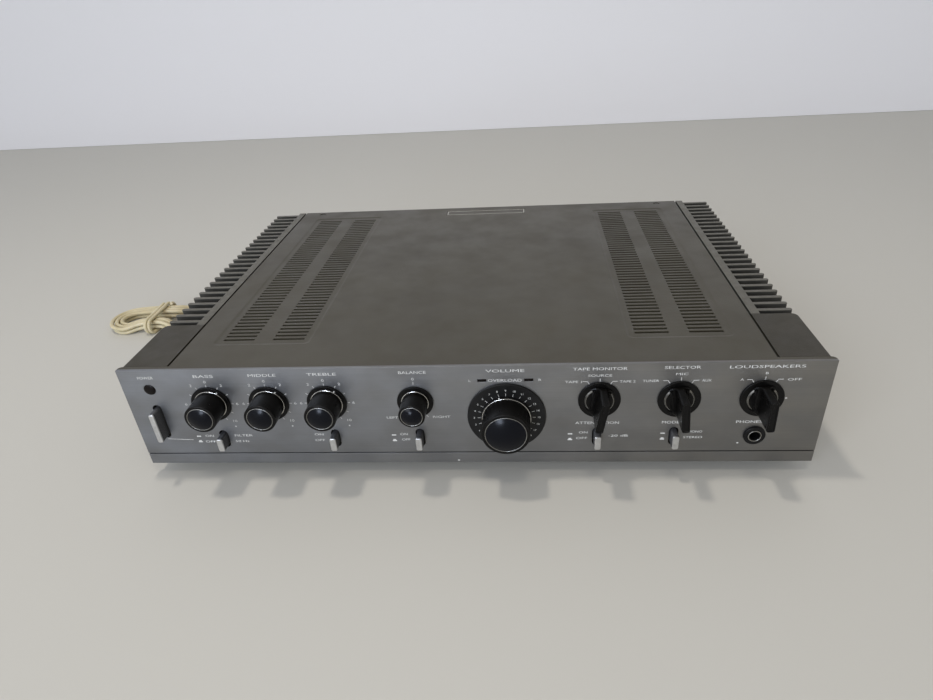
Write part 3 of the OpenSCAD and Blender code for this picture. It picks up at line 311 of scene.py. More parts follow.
feet_low, feet_high = node_box("feet")
foot_h = feet_high.z - feet_low.z
feet = bmesh.new()
for x in (feet_low.x + FOOT_TOP_R, feet_high.x - FOOT_TOP_R):
    for y in (feet_low.y + FOOT_TOP_R, feet_high.y - FOOT_TOP_R):
        foot = turned([(FOOT_BORE_R, foot_h), (FOOT_TOP_R, foot_h), (FOOT_R, 0), (FOOT_RECESS_R, 0),
                       (FOOT_RECESS_R, FOOT_RECESS_D), (FOOT_BORE_R, FOOT_RECESS_D)], ring=True)
        soften(foot, 0.8, 3)
        join(feet, foot, Matrix.Translation((x, y, feet_low.z)))
piece(feet, "rubber_feet", rubber, "chassis", ["feet"])

# Screws
# Cross-head steel screws: two countersunk in the cover, two in the rear panel, six up into the
# heat sinks and one in each foot. Blackened steel, a little worn on the heads.
SCREW_R = 1.5
SCREW_HEAD_R = 3
SCREW_HEAD_T = 1.8
SCREW_LEN = 6
CROSS_W = 0.8
CROSS_REACH = 1.8
CROSS_D = 0.9
LID_SCREW_INSET = 19.5
LID_SCREW_BACK = 7
LID_SCREW_SINK = 0.5
REAR_SCREW_INSET = 40
REAR_SCREW_DROP = 5.5
SINK_SCREW_INSET = 25
SINK_SCREW_X = 200.15
REAR_SCREW_LEN = 5.8
SINK_SCREW_LEN = 7.3


def cut(bm, axis, away):
    """Divides the faces of a mesh at a plane across an axis."""
    whole = bm.verts[:] + bm.edges[:] + bm.faces[:]
    bmesh.ops.bisect_plane(bm, geom=whole, plane_co=axis * away, plane_no=axis)


def cross_screw(head_r, seat_r, head_t, length):
    """Screw along Z with its head up, its seat at the origin and a cross recess."""
    head = turned([(0, 0), (seat_r, 0), (head_r, head_t), (0, head_t)], 24)
    if seat_r == head_r:
        soften(head, 0.4, 2, where=lambda at: at.z > head_t / 2)
    for axis in (Vector((1, 0, 0)), Vector((0, 1, 0))):
        for away in (-CROSS_REACH, -CROSS_W / 2, CROSS_W / 2, CROSS_REACH):
            cut(head, axis, away)
    arms = []
    for face in head.faces:
        near, far = sorted(abs(c) for c in face.calc_center_median()[:2])
        if face.normal.z > 0.9 and near < CROSS_W / 2 and far < CROSS_REACH:
            arms.append(face)
    pulled(head, bmesh.ops.extrude_face_region(head, geom=arms), (0, 0, -CROSS_D))
    join(head, turned([(0, -length), (SCREW_R, -length), (SCREW_R, 0.1), (0, 0.1)], 16))
    return head


black_steel = clouded("blackened_steel", ("#4a4843", "#6a6862"), 1.5, (1.5, 0.4, 0.55), 0.9)

cover_low, cover_high = node_box("top_cover")
sink_low, sink_high = node_box("heat_sinks")
base_low, base_high = node_box("base_plate")
rear_high = node_box("rear_panel")[1]
head_down = Matrix.Rotation(math.pi, 4, "X")
head_back = Matrix.Rotation(-math.pi / 2, 4, "X")
screws = bmesh.new()


def fasten(x, y, z, turn, length, seat_r=SCREW_HEAD_R, head_t=SCREW_HEAD_T):
    """Adds a turned screw with its seat at a place."""
    screw = cross_screw(SCREW_HEAD_R, seat_r, head_t, length)
    join(screws, screw, Matrix.Translation((x, y, z)) @ turn)


for side in (-1, 1):
    fasten(side * (cover_high.x - LID_SCREW_INSET), cover_high.y - LID_SCREW_BACK, cover_low.z,
           Matrix.Identity(4), SCREW_LEN, SCREW_R, cover_high.z - cover_low.z - LID_SCREW_SINK)
    fasten(side * (rear_high.x - REAR_SCREW_INSET), rear_high.y, cover_high.z - REAR_SCREW_DROP,
           head_back, REAR_SCREW_LEN)
    sink_y = (sink_low.y + SINK_SCREW_INSET, (sink_low.y + sink_high.y) / 2, sink_high.y - SINK_SCREW_INSET)
    for y in sink_y:
        fasten(side * SINK_SCREW_X, y, base_low.z, head_down, SINK_SCREW_LEN)
    for y in (feet_low.y + FOOT_TOP_R, feet_high.y - FOOT_TOP_R):
        fasten(side * (feet_high.x - FOOT_TOP_R), y, feet_low.z + FOOT_RECESS_D, head_down,
               base_high.z - FOOT_RECESS_D + 1)
piece(screws, "case_screws", black_steel, "chassis", ["screws"])

# Transformer
# A shell core of stacked silicon steel sheets and one winding of enamelled copper wire on its
# middle leg, wrapped so that the corners are round.
WINDING_ROUND = 4
SHEETS = (300, 0.9, 300)
WIRES = (300, 300, 0.8)


def copied(node):
    """Mesh of a solid in mm, with its loose triangles merged into flat faces."""
    bm = bmesh.new()
    bm.from_mesh(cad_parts[node].data)
    bmesh.ops.scale(bm, vec=(1 / MM, 1 / MM, 1 / MM), verts=bm.verts)
    bmesh.ops.remove_doubles(bm, verts=bm.verts, dist=1e-3)
    bmesh.ops.dissolve_limit(bm, angle_limit=math.radians(1), verts=bm.verts, edges=bm.edges)
    return bm


laminations = clouded("laminated_silicon_steel", ("#3c3b39", "#6a6864"), SHEETS, 0.5, 0.85, (SHEETS, 0.2))
dress(laminations, "transformer_core")
copper = clouded("enamelled_copper_wire", ("#7c4319", "#c0763a"), WIRES, 0.35, 0.9, (WIRES, 0.3))
winding_low, winding_high = node_box("transformer_winding")
winding = copied("transformer_winding")
soften(winding, WINDING_ROUND, 5, where=lambda at: (
    min(at.x - winding_low.x, winding_high.x - at.x) < 0.1
    and min(at.y - winding_low.y, winding_high.y - at.y) < 0.1))
piece(winding, "transformer_coil", copper, "chassis", ["transformer_winding"])

# Filter capacitors, circuit boards and pillars
# Aluminium cans in blue heat-shrunk sleeves, with bare tops; green boards of glass laminate with
# black and red-brown parts soldered on; hexagon pillars of brass.
SLEEVE_TOP = 64
BOARD_TOP = 22.6
PART_ROWS_MIDDLE = -30


def past(tree, place, level):
    """One where a coordinate lies past a level in mm, and nothing elsewhere."""
    return add(tree, "Math", {0: place, 1: level * MM}, operation="GREATER_THAN").outputs[0]


sleeve, tree, place = new_finish("pvc_sleeve_on_aluminium")
height = add(tree, "SeparateXYZ", {0: place}).outputs["Z"]
top = past(tree, height, SLEEVE_TOP)
close_finish(tree, {
    "Base Color": tint(tree, top, "#2f4a6b", "#c3c5c6"),
    "Metallic": top,
    "Roughness": mottle(tree, place, 4, 0.28, 0.42)})
dress(sleeve, "filter_capacitors")

board, tree, place = new_finish("glass_laminate_board")
spots = add(tree, "SeparateXYZ", {0: place})
raised = past(tree, spots.outputs["Z"], BOARD_TOP)
behind = past(tree, spots.outputs["Y"], PART_ROWS_MIDDLE)
tracks = tint(tree, mottle(tree, place, (3, 14, 3)), "#38562f", "#587a48")
close_finish(tree, {
    "Base Color": tint(tree, raised, tracks, tint(tree, behind, "#1d1e22", "#7b3424")),
    "Roughness": 0.42})
dress(board, "circuit_boards")
brass = clouded("turned_brass", ("#c9a962", "#a98947"), 4, 0.32, 1.0)
dress(brass, "board_pillars", "control_nuts")

# Controls behind the panel
# Potentiometers in tinned cans, rotary switches of brown phenolic paper, push switches of cream
# nylon, power transistors in nickel cans, and ground steel shafts.
phenolic = clouded("phenolic_paper_laminate", ("#7a5630", "#9a7444"), (6, 2, 6), 0.4)
dress(phenolic, "rotary_switches")
nylon = clouded("moulded_nylon", ("#d9d2bd", "#c9bfa2"), 8, 0.48, extra={
    "Subsurface Weight": 0.1, "Subsurface Radius": (0.002, 0.0015, 0.001)})
dress(nylon, "push_switches")
steel = clouded("ground_steel", ("#b9bbbd", "#9fa1a3"), (20, 0.25, 20), 0.28, 1.0)
CONTROLS = ("bass", "mid", "treble", "balance", "volume")
SWITCHES = ("monitor", "source", "speaker")
dress(steel, *(name + "_shaft" for name in CONTROLS + SWITCHES))
nickel = clouded("nickel_plated_steel", ("#b3b2ae", "#8f8d87"), 3, (1.5, 0.25, 0.45), 1.0)
dress(nickel, "potentiometers", "output_transistors")

# Rear panel
# Sheet steel in matt dark paint, with round signal sockets, two-pole speaker sockets and fuse
# holders of black moulding. Their rims are rolled bright metal, and the legends are white ink.
INK_LIFT = 0.04
CAPITAL = 0.7
LETTER_WIDE = 1.35
DIN_X = (45, 75, 105, 135, 165)
SPEAKER_X = (-85, -60, -30, -5)
FUSE_X = (-135, -113)
FITTING_Z = 36
RIM_R = 10.4
SPEAKER_RIM_R = 8.9
RIM_W = 1.5
RIM_Y = 1.8
FUSE_OUTLINE = [(0, -26), (5, -26), (5, 0), (7, 0), (7, 5.9), (6.4, 6.5), (6, 6.5), (6, 14.5), (0, 14.5)]
FLUTES_FROM = 6
FLUTE_RIM = 0.28
FLUTE_D = 0.35
PRINT_Z = 52
PRINT_H = 2.4
GROUP_X = (-8, 98)
GROUP_LINE_Z = 58
GROUP_LINE_W = 0.5
GROUP_Z = 61
GROUP_H = 2.8
LINE_W = 0.38

rear_paint = clouded("matt_stoved_paint", ("#343431", "#3d3c38"), 40, 0.6, grain=(0.8, 0.03))
dress(rear_paint, "rear_panel")
black_moulding = clouded("black_phenolic_moulding", ("#0a0a0b", "#121213"), 5, 0.36, specular=0.2)
dress(black_moulding, "input_sockets", "speaker_sockets")
chrome = clouded("bright_chromium_plate", "#d6d4cf", None, (2, 0.12, 0.25), 1.0)


def oblong(low_x, high_x, low_y, high_y):
    """Outline of a rectangle."""
    return [(low_x, low_y), (high_x, low_y), (high_x, high_y), (low_x, high_y)]


rims = bmesh.new()
for x, rim_r in [(x, RIM_R) for x in DIN_X] + [(x, SPEAKER_RIM_R) for x in SPEAKER_X]:
    rim = turned(oblong(rim_r - RIM_W, rim_r, RIM_Y - 0.2, RIM_Y + 0.3), 40, ring=True)
    soften(rim, 0.2)
    join(rims, rim, Matrix.Translation((x, rear_high.y, FITTING_Z)) @ head_back)
piece(rims, "socket_rims", chrome, "chassis")

fuses = bmesh.new()
for x in FUSE_X:
    fuse = turned(FUSE_OUTLINE, 32)
    flutes = [f for f in fuse.faces if f.calc_center_median().z > FLUTES_FROM and abs(f.normal.z) < 0.1]
    bmesh.ops.inset_individual(fuse, faces=flutes, thickness=FLUTE_RIM, depth=-FLUTE_D)
    join(fuses, fuse, Matrix.Translation((x, rear_high.y, FITTING_Z)) @ head_back)
piece(fuses, "fuse_caps", black_moulding, "chassis", ["fuse_holders"])


def lettering(bm, text, height, spot, wide=LETTER_WIDE, length=None):
    """Adds a line of flat letters in the XY plane, of a height and perhaps a length, about a spot."""
    curve = bpy.data.curves.new("letters", "FONT")
    curve.body = text
    curve.size = height / CAPITAL
    curve.align_x = "CENTER"
    curve.resolution_u = 3
    holder = bpy.data.objects.new("letters", curve)
    data = bpy.data.meshes.new_from_object(holder)
    letters = bmesh.new()
    letters.from_mesh(data)
    bpy.data.objects.remove(holder)
    bpy.data.curves.remove(curve)
    bpy.data.meshes.remove(data)
    if length:
        wide = length / (2 * max(v.co.x for v in letters.verts))
    bmesh.ops.scale(letters, vec=(wide, 1, 1), verts=letters.verts)
    join(bm, letters, Matrix.Translation((spot[0], spot[1] - height / 2, 0)))


def stroke(bm, start, end, width=LINE_W):
    """Adds a flat bar in the XY plane from one point to another."""
    along = Vector(end) - Vector(start)
    middle = (Vector(end) + Vector(start)) / 2
    matrix = (Matrix.Translation(middle.to_3d()) @ Matrix.Rotation(math.atan2(along.y, along.x), 4, "Z")
              @ Matrix.Diagonal((along.length, width, 1, 1)))
    bmesh.ops.create_grid(bm, x_segments=1, y_segments=1, size=0.5, matrix=matrix)


white_ink = clouded("screened_white_ink", ("#dcdcd9", "#c6c6c1"), 2, 0.55)

legends = bmesh.new()
for k, x in enumerate(DIN_X):
    lettering(legends, "INPUT " + str(len(DIN_X) - k), PRINT_H, (-x, PRINT_Z))
for k, x in enumerate(SPEAKER_X):
    lettering(legends, ("A" if k > 1 else "B") + (" R" if k % 2 else " L"), PRINT_H, (-x, PRINT_Z))
for x in FUSE_X:
    lettering(legends, "FUSE", PRINT_H, (-x, PRINT_Z))
stroke(legends, *((x, GROUP_LINE_Z) for x in GROUP_X), GROUP_LINE_W)
lettering(legends, "SPEAKERS", GROUP_H, (sum(GROUP_X) / 2, GROUP_Z))
on_rear = (Matrix.Translation((0, rear_high.y + INK_LIFT, 0)) @ Matrix.Rotation(math.pi, 4, "Z")
           @ Matrix.Rotation(math.pi / 2, 4, "X"))
piece(legends, "rear_print", white_ink, "chassis", matrix=on_rear)

# Heat sinks
# Two extruded aluminium plates with 25 upright fins each, dyed and painted dark. The tops are
# sawn, and their colour is painted lighter than the fins, partly dust and partly a painted highlight
# of the light from above; the gaps between the fins are almost black.
SINK_BASE_X = 197
FIN_ROOT_X = 203.3
FIN_X = 226.79
FIN_R = 1.8
FIN_FIRST = 6
FIN_PITCH = 10
FIN_COUNT = 25
FIN_TIP_STEPS = 8

sink_paint, tree, place = new_finish("dark_paint_on_extruded_aluminium")
height = add(tree, "SeparateXYZ", {0: place}).outputs["Z"]
# Painted highlight and dust: the top faces get a lighter colour than the fins.
lit_top = past(tree, height, sink_high.z - 0.3)
fin_colour = tint(tree, mottle(tree, place, (9, 9, 60)), "#2b2b29", "#383733")
top_dust_and_sheen = tint(tree, mottle(tree, place, 5), "#504e47", "#5d5b53")
close_finish(tree, {
    "Base Color": tint(tree, lit_top, fin_colour, top_dust_and_sheen),
    "Roughness": mottle(tree, place, 6, 0.4, 0.55),
    "Normal": relief(tree, mottle(tree, place, (0.6, 0.6, 3)), 0.03)})

outline = [(SINK_BASE_X, sink_low.y), (FIN_ROOT_X, sink_low.y)]
for k in range(FIN_COUNT):
    y = sink_low.y + FIN_FIRST + k * FIN_PITCH
    outline.append((FIN_ROOT_X, y - FIN_R))
    for step in range(FIN_TIP_STEPS + 1):
        turn = math.pi * (step / FIN_TIP_STEPS - 0.5)
        outline.append((FIN_X - FIN_R + FIN_R * math.cos(turn), y + FIN_R * math.sin(turn)))
    outline.append((FIN_ROOT_X, y + FIN_R))
outline += [(FIN_ROOT_X, sink_high.y), (SINK_BASE_X, sink_high.y)]


def extruded(outline, low, high):
    """Mesh with an outline in the XY plane, drawn up from a low to a high level."""
    bm = bmesh.new()
    face = bm.faces.new([bm.verts.new((x, y, low)) for x, y in outline])
    pulled(bm, bmesh.ops.extrude_face_region(bm, geom=[face]), (0, 0, high - low))
    bmesh.ops.recalc_face_normals(bm, faces=bm.faces)
    return bm


sinks = bmesh.new()
for side in (1, -1):
    sink = extruded(outline, sink_low.z, sink_high.z)
    soften(sink, 0.3, 2, where=lambda at: at.z > sink_high.z - 0.01)
    join(sinks, sink, Matrix.Scale(side, 4, (1, 0, 0)))
bmesh.ops.recalc_face_normals(sinks, faces=sinks.faces)
piece(sinks, "finned_sinks", sink_paint, "chassis", ["heat_sinks"], smooth=30)

# Side blocks
# Hollow castings that carry the cover's line on to the front panel, stoved in the same olive
# bronze as the cover. Their edges are rounded by the paint.
PAINT_DARK = "#39352a"
PAINT_LIGHT = "#403c30"
PAINT_WORN = "#4b483d"
BLOCK_DARK = "#2c281e"
BLOCK_LIGHT = "#332f24"
BLOCK_INNER_X = 197

case_paint, tree, place = new_finish("olive_bronze_stoved_paint")
blended = tint(tree, mottle(tree, place, 90), PAINT_DARK, PAINT_LIGHT)
close_finish(tree, {
    "Base Color": tint(tree, mottle(tree, place, (14, 20, 14), 0.0, 0.22), blended, PAINT_WORN),
    "Roughness": mottle(tree, place, 25, 0.36, 0.5),
    "Normal": relief(tree, mottle(tree, place, 1.0), 0.03)})

block_paint = clouded("bronze_paint_on_casting", (BLOCK_DARK, BLOCK_LIGHT), 30, (12, 0.42, 0.55),
                      grain=(1.0, 0.04))

blocks = copied("side_blocks")
soften(blocks, 0.6, 3, sharp=60, where=lambda at: abs(at.x) > BLOCK_INNER_X + 0.2)
piece(blocks, "cast_blocks", block_paint, "chassis", ["side_blocks"], smooth=30)

# Top cover
# One steel sheet with two punched grilles, each in a shallow pressed field with soft edges, and a
# pressed frame at the back with a thin light line in it and nothing else. Painted like the blocks;
# the paint has rounded every rim.
SLOT_ENDS = (114, 136.5, 150, 172.5)
SLOT_FIRST = 35
SLOT_PITCH = 5.06
SLOT_COUNT = 50
SLOT_W = 2.3
ROW_MARGIN = 6
FIELD_X = (108, 178.5)
FIELD_Y = (26.5, 291.44)
FIELD_R = 5
FIELD_DEPTH = 0.5
FIELD_SLOPE = 2.5
FIELD_LINES = (0, 0.6, 1.2, 1.8, 2.5, 3.4, 4.4, 5.2)
PLATE_X = 41
PLATE_Y = (289, 302)
PLATE_LINES = (0, 0.4, 0.8, 1.2)
PLATE_DEPTH = 0.4
PLATE_LINE_IN = 1.6
PLATE_LINE_W = 0.5
SCREW_HOLE_R = 3.15
SCREW_PATCH = 4


def inside(x, y, x_span, y_span, r):
    """Distance in from a rectangle with corners of a radius; negative outside."""
    away_x = abs(x - sum(x_span) / 2) - (x_span[1] - x_span[0]) / 2 + r
    away_y = abs(y - sum(y_span) / 2) - (y_span[1] - y_span[0]) / 2 + r
    return r - math.hypot(max(away_x, 0), max(away_y, 0)) - min(max(away_x, away_y), 0)


cover = bmesh.new()
cover_size = cover_high - cover_low
cover_middle = (cover_high + cover_low) / 2
flat = Matrix.Diagonal((cover_size.x, cover_size.y, 1, 1))
bmesh.ops.create_grid(cover, x_segments=1, y_segments=1, size=0.5,
                      matrix=Matrix.Translation((0, cover_middle.y, cover_high.z)) @ flat)
front_y = cover_low.y
x_cuts = [PLATE_X - d for d in PLATE_LINES] + list(SLOT_ENDS)
x_cuts += [FIELD_X[0] + d for d in FIELD_LINES] + [FIELD_X[1] - d for d in FIELD_LINES]
screw_spot = Vector((cover_high.x - LID_SCREW_INSET, cover_high.y - LID_SCREW_BACK))
x_cuts += [screw_spot.x - SCREW_PATCH, screw_spot.x + SCREW_PATCH]
y_cuts = [PLATE_Y[0] + d for d in PLATE_LINES] + [PLATE_Y[1] - d for d in PLATE_LINES]
y_cuts += [FIELD_Y[0] + d for d in FIELD_LINES] + [FIELD_Y[1] - d for d in FIELD_LINES]
y_cuts += [screw_spot.y - front_y - SCREW_PATCH, screw_spot.y - front_y + SCREW_PATCH]
for k in range(SLOT_COUNT):
    y_cuts += [SLOT_FIRST + k * SLOT_PITCH - SLOT_W / 2, SLOT_FIRST + k * SLOT_PITCH + SLOT_W / 2]
for x in x_cuts + [-x for x in x_cuts]:
    cut(cover, Vector((1, 0, 0)), x)
for y in y_cuts:
    cut(cover, Vector((0, 1, 0)), front_y + y)
bmesh.ops.remove_doubles(cover, verts=cover.verts, dist=0.01)
punched = []
patches = []
for face in cover.faces:
    x, y = face.calc_center_median()[:2]
    in_slot = abs((y - front_y - SLOT_FIRST + SLOT_PITCH / 2) % SLOT_PITCH - SLOT_PITCH / 2) < SLOT_W / 2
    in_row = FIELD_Y[0] + ROW_MARGIN < y - front_y < FIELD_Y[1] - ROW_MARGIN
    if in_slot and in_row and any(a < abs(x) < b for a, b in (SLOT_ENDS[:2], SLOT_ENDS[2:])):
        punched.append(face)
    if max(abs(abs(x) - screw_spot.x), abs(y - screw_spot.y)) < SCREW_PATCH:
        patches.append(face)
for vert in cover.verts:
    x, y = abs(vert.co.x), vert.co.y - front_y
    share = min(max(inside(x, y, FIELD_X, FIELD_Y, FIELD_R) / FIELD_SLOPE, 0), 1)
    vert.co.z -= FIELD_DEPTH * share * share * (3 - 2 * share)
    line = inside(x, y, (-PLATE_X, PLATE_X), PLATE_Y, 0)
    if PLATE_LINES[1] - 0.1 < line < PLATE_LINES[2] + 0.1:
        vert.co.z -= PLATE_DEPTH
bmesh.ops.delete(cover, geom=punched + patches, context="FACES")
for side in (-1, 1):
    spot = Vector((side * screw_spot.x, screw_spot.y, cover_high.z))
    hole = bmesh.ops.create_circle(cover, segments=32, radius=SCREW_HOLE_R, matrix=Matrix.Translation(spot))
    rim = [e for e in cover.edges if all(v in hole["verts"] for v in e.verts)]
    edge = [e for e in cover.edges if e.is_boundary
            and max(abs(c) for c in ((e.verts[0].co + e.verts[1].co) / 2 - spot)[:2]) < SCREW_PATCH + 0.01]
    bmesh.ops.bridge_loops(cover, edges=rim + edge)
bmesh.ops.recalc_face_normals(cover, faces=cover.faces)
if sum(f.normal.z for f in cover.faces) < 0:
    bmesh.ops.reverse_faces(cover, faces=cover.faces)
bmesh.ops.solidify(cover, geom=cover.faces[:], thickness=cover_size.z)
bmesh.ops.recalc_face_normals(cover, faces=cover.faces)
soften(cover, 0.25, 2, sharp=50, where=lambda at: (
    at.z > cover_middle.z and at.y > front_y + 0.1))
piece(cover, "slotted_cover", case_paint, "chassis", ["top_cover"], smooth=30)

frame_line = bmesh.new()
line_x = PLATE_X - PLATE_LINE_IN
line_y = (front_y + PLATE_Y[0] + PLATE_LINE_IN, front_y + PLATE_Y[1] - PLATE_LINE_IN)
for y in line_y:
    stroke(frame_line, (-line_x, y), (line_x, y), PLATE_LINE_W)
for x in (-line_x, line_x):
    stroke(frame_line, (x, line_y[0]), (x, line_y[1]), PLATE_LINE_W)
piece(frame_line, "frame_line", white_ink, "chassis",
      matrix=Matrix.Translation((0, 0, cover_high.z + INK_LIFT)))

# Front frame
# A cast frame behind the fascia, painted like the cover. It shows as a band above the fascia and
# as a thin line at its ends.
frame_cast = copied("front_frame")
soften(frame_cast, 0.5, 3, sharp=60, where=lambda at: at.y < cover_low.y - 0.1)
piece(frame_cast, "cast_frame", case_paint, "chassis", ["front_frame"], smooth=30)

# Fascia and lower strip
# Extruded aluminium, brushed along its length and clear anodised. The brushing spreads the light
# upright; the anodising has dulled in soft clouds, and the long edges are left bright. Knocks have
# left a few bare chips. The colour is also painted cooler and lighter towards the left, a painted
# reflection of a window there, and lighter towards the top, a painted highlight of the room.
BRUSH = (90, 30, 0.3)
SHEEN_HALF = 230
SHEEN_Z = (25, 92)
SHEEN_LEVEL = (0.93, 1.14)
SMUDGE = (38, 38, 26)
GROOVE_IN = 1.2
PANEL_H = 79
CHIPS = [(203.9, 51.7, 0.6), (179.3, 15.9, 0.6), (-7, 1.9, 0.7)]
CHIP_FORM = (1.3, 0.8, 1, 1)

brushed, tree, place = new_finish("brushed_anodised_aluminium")
lines = mottle(tree, place, BRUSH, detail=4.0)
way = add(tree, "SeparateXYZ", {0: place})
# Painted reflection: the colour runs from cool and lighter on the left to warm and darker on the right, for
# a window on the left.
blended = add(tree, "MapRange", {
    "Value": way.outputs["X"], "From Min": -SHEEN_HALF * MM, "From Max": SHEEN_HALF * MM}).outputs["Result"]
# Painted highlight: the colour grows lighter towards the top of the panel, for the room seen in it.
top_sheen = add(tree, "MapRange", {
    "Value": way.outputs["Z"], "From Min": SHEEN_Z[0] * MM, "From Max": SHEEN_Z[1] * MM,
    "To Min": SHEEN_LEVEL[0], "To Max": SHEEN_LEVEL[1]}).outputs["Result"]
plain = tint(tree, blended, tint(tree, lines, "#878a8f", "#8f9297"), tint(tree, lines, "#817f7b", "#898782"))
clouds = tint(tree, mottle(tree, place, SMUDGE, 0.0, 0.75), plain, "#787878")
close_finish(tree, {
    "Base Color": add(tree, "MixRGB", {"Fac": 1.0, "Color1": clouds, "Color2": top_sheen},
                      blend_type="MULTIPLY").outputs["Color"],
    "Metallic": 1.0,
    "Roughness": mottle(tree, place, (40, 40, 16), 0.38, 0.5),
    "Normal": relief(tree, lines, 0.006)})

panel_low, panel_high = node_box("fascia")
PANEL_Y = panel_low.y
PRINT_RISE = panel_high.z - PANEL_H


def on_panel(x, z, out=0.0):
    """Matrix that stands what is drawn in the XY plane on the fascia, about a spot."""
    return Matrix.Translation((x, PANEL_Y - out, z)) @ Matrix.Rotation(math.pi / 2, 4, "X")


def seat(node):
    """Lowest and highest corner of a control, and the matrix that stands a mesh at its axis."""
    low, high = node_box(node)
    return low, high, on_panel((low.x + high.x) / 2, (low.z + high.z) / 2)


face = copied("fascia")
soften(face, 0.3, 2, sharp=60, where=lambda at: at.y < PANEL_Y + 0.01)
piece(face, "brushed_face", brushed, "chassis", ["fascia"], smooth=30)

strip_low, strip_high = node_box("lower_strip")
strip = extruded(oblong(strip_low.x, strip_high.x, strip_low.y, strip_high.y), strip_low.z, strip_high.z)
soften(strip, 0.2, 2)
piece(strip, "brushed_strip", brushed, "chassis", ["lower_strip"], smooth=30)

# A black strip set deep in the groove between the fascia and the lower strip: painted shade, so that the
# groove reads dark.
groove_shade = extruded(oblong(strip_low.x + 0.1, strip_high.x - 0.1, PANEL_Y + GROOVE_IN, strip_high.y),
                 strip_high.z, panel_low.z)
piece(groove_shade, "painted_groove_shade", shade_black, "chassis")

bare = clouded("bare_bright_aluminium", "#e6e6e4", None, 0.5, 0.6)
chips = bmesh.new()
for x, z, r in CHIPS:
    bmesh.ops.create_circle(chips, cap_ends=True, segments=9, radius=r, matrix=(
        on_panel(x, z + PRINT_RISE, INK_LIFT) @ Matrix.Diagonal(CHIP_FORM)))
piece(chips, "panel_chips", bare, "chassis")

# Panel legends
# White ink screened on the fascia: plain words for each control, number scales round the tone
# controls, leader lines at the switches and small pictograms of pressed and raised buttons.
HEAD_H = 2.1
SUB_H = 1.75
NUMBER_H = 1.9
HEADINGS = [
    ("POWER", -211.3, 73.2, 11), ("BASS", -171.4, 73.9, 14), ("MIDDLE", -131.5, 74.1, 19),
    ("TREBLE", -91.6, 74.3, 19.5), ("BALANCE", -32.2, 74.7, 18), ("VOLUME", 27.5, 75, 24.5),
    ("TAPE MONITOR", 87.1, 75.5, 34), ("SELECTOR", 137.7, 75.7, 22.2), ("LOUDSPEAKERS", 188.6, 75.5, 45.5),
    ("ATTENUATION", 86.9, 33.4, 28.2), ("MODE", 134.3, 33.4, 11.4), ("PHONES", 184.1, 33.3, 16.5),
    ("OVERLOAD", 27.1, 67.8, 21.6)]
SUB_LABELS = [
    ("L", 4.5, 67.8), ("R", 49.4, 67.8), ("LEFT", -49.3, 39.1, 7.9), ("RIGHT", -16, 39.4, 12),
    ("TAPE 1", 71, 65.9, 9.8), ("SOURCE", 87.2, 70.5, 15), ("TAPE 2", 104.6, 65.8, 9.8),
    ("TUNER", 119, 66, 10.2), ("MIC", 137.8, 70.8, 7.6), ("AUX", 153.4, 65.9, 5.8),
    ("A", 174.9, 66.1), ("B", 189.1, 70.7), ("OFF", 206.5, 65.8, 8.4),
    ("ON", -180.4, 24.6, 6), ("OFF", -180.9, 19.6, 7.6), ("FILTER", -156, 24.8, 13.2),
    ("50 Hz", -158, 19.8, 10), ("ON", -102.1, 25.3, 6), ("OFF", -102.3, 20.3, 6.8),
    ("ON", -43, 25), ("OFF", -42, 20.4),
    ("ON", 78, 25.5, 5.6), ("OFF", 77, 20.7, 7.6), ("-20 dB", 101, 22.6, 13), ("MONO", 150.9, 25.6, 9),
    ("STEREO", 149.8, 20.9, 12.2)]
TONE_X = (-171.4, -131.3, -91.6)
TONE_TICK_R = (13.7, 15.4)
TONE_NUMBERS = (("0", 0, 17.8), ("2", 35, 18.2), ("6", 90, 17.8), ("10", 139, 19))
AXIS_Z = 51.7
BALANCE_ZERO = (-32.3, 69.6)
MARKS = [
    (TONE_X, [(11.6, 32.7, 12.5, 32.7, 0.9)]),
    ((-32.3,), [(0, 65.4, 0, 67.4), (-6.2, 41.2, -7.6, 39.4), (6.2, 41.2, 7.6, 39.4)]),
    ((87.4, 137.7, 188.9), [
        (-6.7, 63.9, -8, 66.1), (-7.9, 66, -11, 66), (6.7, 63.9, 8, 66.1), (7.9, 66, 11, 66),
        (0, 65.8, 0, 68.2)]),
    ((-188.3, -50, 69.2, 130), [
        (-1.5, 24.3, 1.5, 24.3, 0.9), (-1.5, 19.4, 1.5, 19.4, 0.9), (-0.9, 20.3, 0.9, 20.3, 1.0)]),
    ((-211.4,), [(0, 22.2, 18.3, 21.2)])]

legends = bmesh.new()
for word, x, z, length in HEADINGS:
    lettering(legends, word, HEAD_H, (x, z), length=length)
for word, x, z, *length in SUB_LABELS:
    lettering(legends, word, SUB_H, (x, z), LETTER_WIDE, *length)


def around(centre, degrees, r):
    """Point at a radius from a centre, at an angle clockwise from the top."""
    turn = math.radians(degrees)
    return centre[0] + r * math.sin(turn), centre[1] + r * math.cos(turn)


for x in TONE_X:
    axis = (x, AXIS_Z)
    for degrees in range(-150, 151, 30):
        stroke(legends, *(around(axis, degrees, r) for r in TONE_TICK_R))
    for number, degrees, r in TONE_NUMBERS:
        for turn in {degrees, -degrees}:
            lettering(legends, number, NUMBER_H, around(axis, turn, r))
lettering(legends, "0", NUMBER_H, BALANCE_ZERO)
for middles, strokes in MARKS:
    for x in middles:
        for from_x, from_z, to_x, to_z, *width in strokes:
            stroke(legends, (x + from_x, from_z), (x + to_x, to_z), *width)
piece(legends, "panel_print", white_ink, "chassis", matrix=on_panel(0, PRINT_RISE, INK_LIFT))

